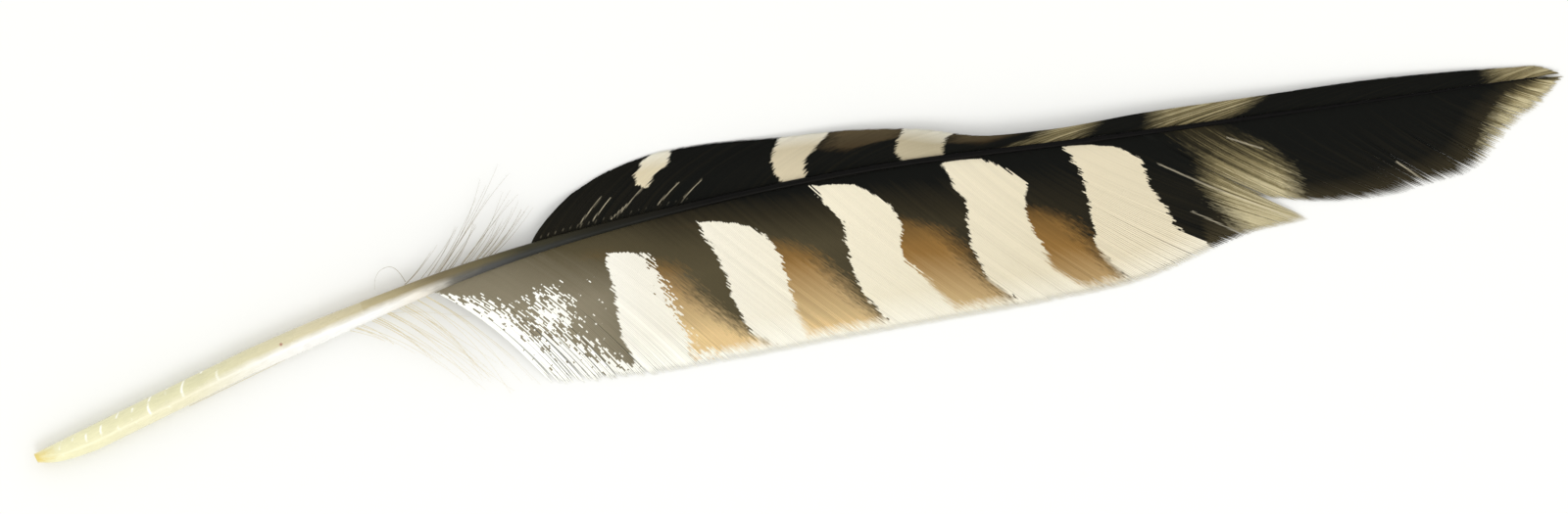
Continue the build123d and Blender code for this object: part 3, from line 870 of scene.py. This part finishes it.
def horn_group():
    """Fine lines along horn and cloudy mottling, from where a point is along it and round it."""
    tree, given, result = new_group(
        "Horn Grain", "ShaderNodeTree",
        [("Along", "Float", 0.0), ("Aside", "Float", 0.0), ("Up", "Float", 0.0), ("Fineness", "Float", 14.0)],
        [("Lines", "Float"), ("Clouds", "Float"), ("Height", "Float")])
    fine = put(tree, "ShaderNodeCombineXYZ", {
        "X": times(tree, given["Along"], 0.05), "Y": given["Aside"], "Z": given["Up"]}).outputs[0]
    broad = put(tree, "ShaderNodeCombineXYZ", {
        "X": times(tree, given["Along"], 0.35), "Y": given["Aside"], "Z": given["Up"]}).outputs[0]
    lines = put(tree, "ShaderNodeTexNoise", {"Vector": fine, "Scale": given["Fineness"],
                                             "Detail": 2.0}).outputs[0]
    clouds = put(tree, "ShaderNodeTexNoise", {"Vector": broad, "Scale": 1.3, "Detail": 3.0}).outputs[0]
    height = plus(tree, lines, times(tree, clouds, 0.6))
    for index, socket in enumerate((minus(tree, lines, 0.5), minus(tree, clouds, 0.5), height)):
        tree.links.new(socket, result.inputs[index])
    return tree


def group_node(tree, maker, label, inputs):
    node = tree.nodes.new("ShaderNodeGroup")
    node.node_tree = kept_tree(maker, label)
    for name, value in inputs.items():
        if isinstance(value, bpy.types.NodeSocket):
            tree.links.new(value, node.inputs[name])
        else:
            node.inputs[name].default_value = value
    return node.outputs


def new_material(name, plain):
    """A material with one Principled BSDF, whose plain numbers are set on its own sockets."""
    material = bpy.data.materials.new(name)
    material.use_nodes = True
    shader = material.node_tree.nodes["Principled BSDF"]
    for label, value in plain.items():
        shader.inputs[label].default_value = value
    return material, material.node_tree, shader


def feed(tree, shader, colour_socket, roughness, height, strength, distance):
    tree.links.new(colour_socket, shader.inputs["Base Color"])
    tree.links.new(roughness, shader.inputs["Roughness"])
    bump = put(tree, "ShaderNodeBump", {"Height": height, "Strength": strength, "Distance": distance})
    tree.links.new(bump.outputs[0], shader.inputs["Normal"])


def web_material(name, colours, rust_strength, tan_start, tan_rise, pale_stops):
    """Barbs with bars, rust, tan streaks and painted highlights on single barbs; each barb has its own tone and a
    ridge, and painted shade in the grooves between barbs.
    """
    material, tree, shader = new_material(name, {"Specular IOR Level": 0.06})
    grain = group_node(tree, barb_group, "Barb Grain", {
        "Run": read(tree, "run"), "Strand": read(tree, "strand"), "Across": read(tree, "across")})
    place = read(tree, "place")
    ragged = read(tree, "ragged")
    masks = {}
    for label in ("pale", "rust", "tan", "painted_glint"):
        masks[label] = group_node(tree, edge_group, "Marking Edge", {
            "Distance": read(tree, label), "Noise": grain["Dashes"],
            "Ragged": {"pale": ragged, "rust": 2.0, "tan": 1.2, "painted_glint": 0.03}[label],
            "Softness": {"pale": read(tree, "soft"), "rust": 4.0, "tan": 3.6, "painted_glint": 0.14}[label]})[0]
    toned = plus(tree, read(tree, "ink"), times(tree, grain["Tone"], 0.08))
    dark = ramp(tree, toned, [
        (0.0, colours.bar_light), (0.45, scaled(colours.bar_mid, 1.25)), (0.62, colours.bar_mid),
        (0.85, scaled(colours.bar_mid, 0.36)), (1.0, colours.bar_black)])
    fade = times(tree, minus(tree, 0.46, place), 1.1)
    fade = plus(tree, fade, times(tree, grain["Tone"], 0.07))
    rust = ramp(tree, plus(tree, read(tree, "out"), fade), [
        (0.30, scaled(colours.rust_shade, 0.6)), (0.55, colours.rust_shade), (0.90, colours.rust_edge),
        (1.15, tuple(min(1, 1.3 * c) for c in colours.rust_edge))])
    streak = plus(tree, times(tree, grain["Tone"], 0.9), times(tree, grain["Dashes"], 0.16))
    streak = plus(tree, streak, tan_start)
    tan = ramp(tree, plus(tree, streak, times(tree, read(tree, "out"), tan_rise)), [
        (0.0, scaled(colours.tan_shade, 0.10)), (0.3, scaled(colours.tan_shade, 0.45)),
        (0.6, colours.tan_shade), (0.95, colours.tan_light)])
    pale = ramp(tree, place, pale_stops)
    whiter = times(tree, minus(tree, read(tree, "out"), 0.68), 2.6)
    whiter = minus(tree, whiter, times(tree, place, 0.6), clamp=True)
    pale = mix(tree, whiter, pale, paint(254, 254, 244, 0.97))
    deep = minus(tree, times(tree, read(tree, "out"), 2.4), 0.22, clamp=True)
    shown = times(tree, times(tree, masks["rust"], deep), rust_strength)
    shade = mix(tree, shown, dark, rust)
    shade = mix(tree, masks["tan"], shade, tan)
    shade = mix(tree, masks["pale"], shade, pale)
    # painted highlight: glinting single barbs and the comb by the shaft turned part way to the pale colour
    shade = mix(tree, times(tree, masks["painted_glint"], 0.42), shade, pale)
    # painted shade in the grooves between barbs, with the barbules and each barb's tone on top
    groove_shade_and_grain = plus(tree, times(tree, grain["Ridge"], 0.27), 0.80)
    groove_shade_and_grain = plus(tree, groove_shade_and_grain, times(tree, grain["Barbules"], 0.05))
    groove_shade_and_grain = plus(tree, groove_shade_and_grain, times(tree, grain["Tone"], 0.09))
    shade = lightened(tree, shade, groove_shade_and_grain)
    roughness = plus(tree, times(tree, grain["Barbules"], 0.12), 0.5)
    feed(tree, shader, shade, roughness, grain["Barbules"], 0.25, 0.02 * MILLIMETRE)
    return material


def cup_marks(tree, along, aside, clouds):
    """How much of the dry cups shows through the barrel's wall, in broken arcs."""
    bent = minus(tree, along, times(tree, times(tree, aside, aside), 1.1))
    share = maths(tree, "DIVIDE", minus(tree, bent, 3.0), BARREL_LENGTH + 2, clamp=True)
    row = times(tree, maths(tree, "POWER", share, 1 / CAP_CROWDING), CAP_COUNT + 1.0)
    near = maths(tree, "ABSOLUTE", minus(tree, maths(tree, "FRACT", row), 0.5))
    arc = minus(tree, 1.0, times(tree, near, 9.0), clamp=True)
    broken = plus(tree, times(tree, clouds, 6.0), 0.25, clamp=True)
    upper = plus(tree, times(tree, aside, 2.0), 1.3, clamp=True)
    return times(tree, times(tree, arc, broken), upper)


def fleck(tree, along, aside, up):
    """The reddish fleck on the barrel."""
    spot = put(tree, "ShaderNodeCombineXYZ", {
        "X": times(tree, along, 1 / BARREL_RADIUS), "Y": aside, "Z": up}).outputs[0]
    gap = put(tree, "ShaderNodeVectorMath", {0: spot, 1: (FLECK_AT[0] / BARREL_RADIUS, *FLECK_AT[1:])},
              operation="DISTANCE").outputs["Value"]
    return minus(tree, 1.3, times(tree, gap, 7.0), clamp=True)


def horn_material(name, outer_tone_and_shade, inner_tone_and_highlight, length, plain, line_strength=0.25, with_cups=False):
    """Horn coloured along its length, one way on its outer side and another on its inner side; the inner side's
    paler colours are partly painted highlight, the outer side's darker ones partly painted shade.
    """
    material, tree, shader = new_material(name, plain)
    along, aside, up = read(tree, "along"), read(tree, "aside"), read(tree, "up")
    grain = group_node(tree, horn_group, "Horn Grain", {"Along": along, "Aside": aside, "Up": up})
    wander = times(tree, grain["Clouds"], 5.0)
    at = maths(tree, "DIVIDE", plus(tree, along, wander), length)
    outer, inner = ramp(tree, at, outer_tone_and_shade), ramp(tree, at, inner_tone_and_highlight)
    # towards the inner side, which faces the lamp, the inner colours take over: partly painted highlight there,
    # partly painted shade on the outer side
    side = plus(tree, times(tree, aside, -2.2), times(tree, grain["Clouds"], 0.4))
    shade = mix(tree, plus(tree, side, 0.45, clamp=True), outer, inner)
    if with_cups:
        shade = mix(tree, cup_marks(tree, along, aside, grain["Clouds"]), shade, paint(255, 255, 246, 0.95))
        shade = mix(tree, fleck(tree, along, aside, up), shade, paint(176, 120, 104))
    light = plus(tree, 1.0, times(tree, grain["Lines"], line_strength))
    light = plus(tree, light, times(tree, grain["Clouds"], 0.16))
    shade = lightened(tree, shade, light)
    roughness = plus(tree, times(tree, grain["Clouds"], 0.3), 0.28)
    feed(tree, shader, shade, roughness, grain["Height"], 0.05, 0.02 * MILLIMETRE)
    return material


def soft_material(name, shade, scale, contrast, rough, plain):
    """Down, membrane or foam: one colour, clouded and specked on the object's own coordinates."""
    material, tree, shader = new_material(name, plain)
    place = put(tree, "ShaderNodeTexCoord").outputs["Object"]
    broad = noise(tree, place, scale, 3.0)
    fine = noise(tree, place, scale * 9, 2.0)
    light = plus(tree, 1.0, times(tree, broad, contrast))
    light = plus(tree, light, times(tree, fine, contrast / 2))
    tint = mix(tree, plus(tree, broad, 0.4, clamp=True), shade,
               tuple(c * k for c, k in zip(shade, (0.95, 0.88, 0.72))))
    tint = lightened(tree, tint, light)
    roughness = plus(tree, times(tree, broad, 0.2), rough)
    feed(tree, shader, tint, roughness, fine, 0.4, 0.03 * MILLIMETRE)
    return material


def kept_material(name, maker, *args):
    """The finish of this name, made if it isn't there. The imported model's own have other names."""
    finish = name + "_finish"
    return bpy.data.materials.get(finish) or maker(finish, *args)


# Pieces


def round_values(rings, sides):
    """For a tube's points: millimetres along, and where round it they are, from -1 to 1 each way."""
    turn = 2 * math.pi * np.arange(sides) / sides
    count = len(rings)
    return {"along": np.broadcast_to(rings[..., 0].mean(axis=1)[:, None], (count, sides)),
            "aside": np.broadcast_to(np.sin(turn), (count, sides)),
            "up": np.broadcast_to(np.cos(turn), (count, sides))}


class QUILL_OT_barrel(bpy.types.Operator):
    """The hollow barrel with its open foot, and the dry cups inside it"""

    bl_idname = "quill.barrel"
    bl_label = "Barrel"

    def execute(self, context):
        sizes, colours = context.scene.quill_sizes, context.scene.quill_colours
        sides = 48
        foot = np.concatenate([np.linspace(0, TAPER_LENGTH, 14),
                               np.linspace(TAPER_LENGTH, BARREL_END, 20)[1:-1]])
        upper = np.linspace(0, PITH_START, 16)
        skins = [0, WALL]
        shells = [np.concatenate([foot_rings(foot, skin, sides),
                                  shaft_rings(upper, skin, sides)]) for skin in skins]
        rings = np.concatenate([shells[0], shells[1][::-1]])
        piece = make_piece("barrel", rings.reshape(-1, 3), faces=ring_faces(len(rings), sides, True),
                           values=round_values(rings, sides))
        face_outwards(piece.data)
        # outer stops darken and inner stops whiten towards the shaft: horn colour with painted shade on the outer
        # side and painted highlight on the inner side
        horn = kept_material("barrel_horn", horn_material, [
            (0.0, colours.horn_foot), (0.05, colours.horn), (0.45, scaled(colours.horn, 0.86)),
            (0.80, paint(222, 212, 174)), (1.0, paint(196, 184, 146))], [
            (0.0, colours.horn_foot), (0.05, colours.horn), (0.45, paint(240, 234, 200)),
            (0.70, paint(252, 250, 242)), (1.0, paint(255, 255, 252))], 58.0,
            {"IOR": 1.45, "Coat Weight": 0.2, "Coat Roughness": 0.2}, 0.25, True)
        settle(piece, horn, "barrel_horn", "calamus_wall")

        rim = BARREL_RADIUS - WALL - CAP_CLEARANCE
        crown = (rim**2 + CAP_DEPTH**2) / (2 * CAP_DEPTH)
        slope = np.linspace(0, math.asin(rim / crown), 9)[1:]
        around, steps = 32, 8
        turn = 2 * math.pi * np.arange(around) / around
        layers = []
        for radius in (crown, crown - CAP_THICKNESS):
            crumple = 1 + 0.012 * np.sin(3 * turn + 1)[None] * (slope / slope[-1])[:, None] ** 2
            ring = radius * np.sin(slope)[:, None] * np.minimum(crumple, 1)
            wave = 0.05 * np.sin(5 * turn)[None] * (slope / slope[-1])[:, None] ** 3
            layers.append(np.stack([
                radius * np.cos(slope)[:, None] - crown + wave,
                ring * np.cos(turn), ring * np.sin(turn)], axis=-1))
        points = np.concatenate([[(0, 0, 0)], layers[0].reshape(-1, 3), layers[1][::-1].reshape(-1, 3),
                                 [(-CAP_THICKNESS, 0, 0)]])
        faces = [tuple(1 + index for index in face) for face in ring_faces(2 * steps, around, False)]
        last = 1 + (2 * steps - 1) * around
        for j in range(around):
            k = (j + 1) % around
            faces.append((0, 1 + k, 1 + j))
            faces.append((len(points) - 1, last + j, last + k))
        cups = make_piece("dry_cups", points + BARREL_MIDDLE - (MOUNT / MILLIMETRE), faces=faces)
        first = TAPER_LENGTH + CUP_SETBACK
        grown(cups, kept_tree(cup_tree, "Dry Cups"), {
            "Count": CAP_COUNT, "Start": tuple(to_row((first, 0, BARREL_RADIUS)).tolist()),
            "Reach": (BARREL_LENGTH - CUP_ROOM) * MILLIMETRE, "Crowding": CAP_CROWDING, "Seed": sizes.seed,
            "Material": kept_material("dry_membrane", soft_material, colours.membrane, 900.0, 0.25, 0.45,
                                      {"Specular IOR Level": 0.5})})
        settle(cups, None, "dry_membrane", "pulp_caps")
        return {"FINISHED"}


class QUILL_OT_shaft(bpy.types.Operator):
    """The grooved horny shaft over its pith"""

    bl_idname = "quill.shaft"
    bl_label = "Shaft"

    def execute(self, context):
        colours = context.scene.quill_colours
        sides = 32
        outer = np.linspace(PITH_START, SHAFT_END, 150)
        inner = np.linspace(PITH_START, PITH_END, 60)[::-1]
        skin = np.minimum(CORTEX, CORTEX_SHARE * half_width(inner)) * 0.98
        outside = shaft_rings(outer, 0, sides)
        inside = shaft_rings(inner, skin, sides)
        tip = outside[-1:] * 0.02 + outside[-1].mean(axis=0) * 0.98
        end = inside[:1] * 0.02 + inside[0].mean(axis=0) * 0.98
        rings = np.concatenate([outside, tip, end, inside])
        faces = ring_faces(len(rings), sides, True)
        joint = len(outside) * sides
        faces = [face for face in faces if not joint <= face[0] < joint + sides]
        faces.append(tuple(joint + j for j in range(sides)))
        faces.append(tuple(joint + sides + j for j in reversed(range(sides))))
        piece = make_piece("shaft", rings.reshape(-1, 3), faces=faces, values=round_values(rings, sides))
        face_outwards(piece.data)
        # outer side tan to black, inner side white then grey-blue to black: the shaft's own colour with painted
        # shade on the outer side and painted highlight on the inner side, where the grey-blue band is a painted
        # highlight line
        tan, olive, brown = paint(196, 184, 146), paint(112, 103, 76), paint(64, 61, 46)
        horn = kept_material("shaft_horn", horn_material, [
            (0.0, tan), (0.25, tan), (0.275, paint(176, 163, 126)), (0.305, paint(128, 116, 88)),
            (0.335, olive),
            (0.37, brown), (0.42, paint(36, 34, 26)), (0.50, paint(14, 13, 10)), (1.0, paint(12, 11, 9))], [
            (0.0, paint(255, 255, 252)), (0.255, paint(255, 255, 252)), (0.292, paint(246, 240, 226)),
            (0.315, paint(116, 113, 104)), (0.335, paint(86, 86, 84)), (0.37, paint(60, 61, 58)),
            (0.42, paint(38, 38, 33)), (0.50, paint(15, 14, 11)), (1.0, paint(12, 11, 9))], 220.0,
            {"Specular IOR Level": 0.05}, 0.35)
        settle(piece, horn, "shaft_horn", "rachis_cortex")
        pith = frame["nodes"]["rachis_pith"]
        foam = kept_material("pith_foam", soft_material, colours.pith, 1500.0, 0.3, 0.85,
                             {"Specular IOR Level": 0.2})
        pith.data.materials.clear()
        pith.data.materials.append(foam)
        return {"FINISHED"}


def make_web(context, label, nodes, webs, pitch, count_along, material, slot):
    """Every bundle of one side; webs lists the web and the partings of each stretch of it."""
    sizes = context.scene.quill_sizes
    dice = np.random.default_rng(sizes.seed)
    strand, bundle = 0, 0
    sway = dice.normal(0, 1, SWAY_COUNT)
    for web, partings in webs:
        for number in range(len(partings) - 1):
            bundle += 1
            piece, count = lay_barbs(f"{label}_{bundle}", web, partings, number, strand, pitch / MILLIMETRE,
                                     count_along, sizes, sway, dice)
            strand += count
            grown(piece, kept_tree(barb_tree, "Barb Sweep"), {
                "Overlap": sizes.overlap, "Ridge": sizes.ridge, "Ruffle": sizes.ruffle, "Seed": sizes.seed,
                "Material": material})
            settle(piece, None, slot, f"{nodes}_{bundle}")


class QUILL_OT_inner_web(bpy.types.Operator):
    """The wide web on the inner side, barb by barb"""

    bl_idname = "quill.inner_web"
    bl_label = "Inner Web"

    def execute(self, context):
        webs = [(Web(-1, INNER_WIDTH, INNER_BARBS, INNER_BOW), INNER_PARTINGS),
                (Web(-1, INNER_WIDTH, INNER_TIP_BARBS, INNER_BOW), INNER_TIP_PARTINGS)]
        material = kept_material("inner_barbs", web_material, context.scene.quill_colours, 1.0, -0.22, 1.35,
                                 PALE_INNER)
        make_web(context, "inner_barbs", "inner_web", webs, context.scene.quill_sizes.inner_pitch, 44,
                 material,
                 "inner_barbs")
        return {"FINISHED"}


class QUILL_OT_outer_web(bpy.types.Operator):
    """The narrow web on the outer side, barb by barb"""

    bl_idname = "quill.outer_web"
    bl_label = "Outer Web"

    def execute(self, context):
        webs = [(Web(1, OUTER_WIDTH, OUTER_BARBS, OUTER_BOW), OUTER_PARTINGS)]
        material = kept_material("outer_barbs", web_material, context.scene.quill_colours, 0.14, 0.3, 0.35,
                                 PALE_OUTER)
        make_web(context, "outer_barbs", "outer_web", webs, context.scene.quill_sizes.outer_pitch, 28,
                 material,
                 "outer_barbs")
        return {"FINISHED"}


# Two loose strands of down: millimetres from the foot, aside and up
CURL = [(62.6, 0.5, 1.0), (62.4, 2.2, 1.6), (61.8, 3.4, 1.7), (60.9, 3.8, 1.5), (59.6, 3.7, 1.2),
        (58.5, 2.8, 1.0),
        (57.9, 1.6, 0.8)]
STRAND = [(24.5, -2.02, 0.5), (34, -2.08, 0.6), (44, -2.1, 0.7), (52, -2.05, 0.8), (56.5, -2.3, 0.7),
          (60, -3.4, 0.5),
          (64, -5.4, 0.4), (69, -8.6, 0.3)]


def lay_down(name, side, barbs, tufts, curls, thickness, dice):
    """The guide lines of loose down barbs, in tufts as listed below, each with its own sway."""
    fan = Web(side, DOWN_REACH, barbs, DOWN_BOW)
    steps = 16
    roots = np.concatenate([share + dice.normal(0, spread, count) for share, spread, count, _ in tufts])
    roots = np.clip(roots, barbs[0][0], barbs[-1][0])
    ends = np.concatenate([length * dice.uniform(0.75, 1, count) for _, _, count, length in tufts])
    along = np.linspace(0, 1, steps)[None] * ends[:, None]
    lean = dice.normal(0, 0.012, len(roots))
    lines = list(fan.points(roots[:, None] + lean[:, None] * along**2, along))
    for line, share in zip(lines, along):
        sway = dice.normal(0, 0.35, 2)
        line[:, 0] += sway[0] * share**2 + 0.10 * np.sin(7 * share + sway[1] * 6) * share
        line[:, 2] += 0.10 + abs(sway[1]) * 0.4 * np.sin(math.pi * share)
    for curl in curls:
        knots = np.array(curl)
        at = np.linspace(0, len(knots) - 1, steps)
        lines.append(np.stack([smooth(list(zip(range(len(knots)), knots[:, axis])), at) for axis in range(3)],
                              axis=-1))
    points = np.array(lines)
    taper = np.broadcast_to(1 - 0.75 * np.linspace(0, 1, steps), points.shape[:2])
    edges = [(i * steps + j, i * steps + j + 1) for i in range(len(points)) for j in range(steps - 1)]
    return make_piece(name, points.reshape(-1, 3), edges=edges, values={"half_width": taper * thickness / 2})


# Share of the shaft, spread, count, length
OUTER_TUFTS = [(0.045, 0.003, 3, 0.75), (0.062, 0.003, 3, 0.6), (0.069, 0.002, 6, 0.95),
               (0.078, 0.003, 4, 0.55),
               (0.092, 0.002, 4, 0.9), (0.104, 0.004, 6, 0.6), (0.116, 0.003, 7, 0.85)]
INNER_TUFTS = [(-0.012, 0.004, 5, 0.9), (0.004, 0.005, 7, 0.8), (0.018, 0.004, 6, 1.0),
               (0.034, 0.005, 7, 0.9),
               (0.048, 0.004, 6, 1.0)]


class QUILL_OT_down(bpy.types.Operator):
    """The loose down at the base of both webs"""

    bl_idname = "quill.down"
    bl_label = "Down"

    def execute(self, context):
        sizes, colours = context.scene.quill_sizes, context.scene.quill_colours
        dice = np.random.default_rng(sizes.seed + 1)
        material = kept_material("down", soft_material, colours.down, 500.0, 0.3, 0.7,
                                 {"Specular IOR Level": 0.2})
        white = kept_material("white_down", soft_material, paint(234, 225, 194), 500.0, 0.15, 0.7,
                              {"Specular IOR Level": 0.2})
        for name, side, barbs, tufts, curls, shade, node in (
                ("outer_down_barbs", 1, OUTER_DOWN, OUTER_TUFTS, [CURL], material, "outer_down"),
                ("inner_down_barbs", -1, INNER_DOWN, INNER_TUFTS, [STRAND], white, "inner_down")):
            piece = lay_down(name, side, barbs, tufts, curls, sizes.down_thickness, dice)
            grown(piece, kept_tree(down_tree, "Down Sweep"), {
                "Hair Length": sizes.barbule_length, "Seed": sizes.seed, "Material": shade})
            settle(piece, None, "down", node)
        return {"FINISHED"}


class QUILL_OT_stage(bpy.types.Operator):
    """The floor, the lights and the camera"""

    bl_idname = "quill.stage"
    bl_label = "Stage"

    def execute(self, context):
        scene = context.scene
        scene.view_settings.view_transform = "Standard"
        floor_mesh = bpy.data.meshes.new("floor")
        floor_mesh.from_pydata([(-2, -2, 0), (2, -2, 0), (2, 2, 0), (-2, 2, 0)], [], [(0, 1, 2, 3)])
        floor = bpy.data.objects.new("floor", floor_mesh)
        scene.collection.objects.link(floor)
        card, _, shader = new_material("floor_card", {"Roughness": 0.9, "Specular IOR Level": 0.1})
        shader.inputs["Base Color"].default_value = (*paint(255, 255, 252, 0.84), 1)
        floor_mesh.materials.append(card)

        world = bpy.data.worlds.new("studio")
        scene.world = world
        world.use_nodes = True
        world.node_tree.nodes["Background"].inputs["Color"].default_value = (1.0, 1.0, 0.995, 1)
        world.node_tree.nodes["Background"].inputs["Strength"].default_value = 1.08

        tilt = math.radians(26.1)  # the barrel's slope across the view
        side, height = 0.85, 1.0  # the lamp's place, in metres
        view_up = np.array([math.sin(tilt), math.cos(tilt)])
        lamp_data = bpy.data.lights.new("soft_box", "AREA")
        lamp_data.energy = 3.2
        lamp_data.size = 0.55
        lamp = bpy.data.objects.new("soft_box", lamp_data)
        scene.collection.objects.link(lamp)
        lamp.location = (*(-side * view_up), height)
        lamp.rotation_euler = (math.atan2(side, height), 0, -tilt)

        camera_data = bpy.data.cameras.new("camera")
        camera_data.lens = 200
        camera_data.sensor_width = 36
        camera = bpy.data.objects.new("camera", camera_data)
        scene.collection.objects.link(camera)
        camera.location = (-0.00124, 0.00075, 1.335)
        camera.rotation_euler = (0, 0, -tilt)
        scene.camera = camera
        return {"FINISHED"}


class QUILL_PT_pieces(bpy.types.Panel):
    """The quill's pieces, sizes and colours"""

    bl_idname = "QUILL_PT_pieces"
    bl_label = "Feather Quill"
    bl_space_type = "VIEW_3D"
    bl_region_type = "UI"
    bl_category = "Quill"

    def draw(self, context):
        for operator in OPERATORS:
            self.layout.operator(operator.bl_idname)
        for group in (context.scene.quill_sizes, context.scene.quill_colours):
            box = self.layout.box()
            for label in group.__annotations__:
                box.prop(group, label)


OPERATORS = (QUILL_OT_stage, QUILL_OT_barrel, QUILL_OT_shaft, QUILL_OT_inner_web, QUILL_OT_outer_web,
             QUILL_OT_down)
CLASSES = (QuillSizes, QuillColours, *OPERATORS, QUILL_PT_pieces)


def register():
    for kind in CLASSES:
        bpy.utils.register_class(kind)
    bpy.types.Scene.quill_sizes = PointerProperty(type=QuillSizes)
    bpy.types.Scene.quill_colours = PointerProperty(type=QuillColours)


def unregister():
    del bpy.types.Scene.quill_colours
    del bpy.types.Scene.quill_sizes
    for kind in reversed(CLASSES):
        bpy.utils.unregister_class(kind)


def main():
    register()
    for operator in OPERATORS:
        getattr(bpy.ops.quill, operator.bl_idname.split(".")[1])()


if __name__ == "__main__":
    main()
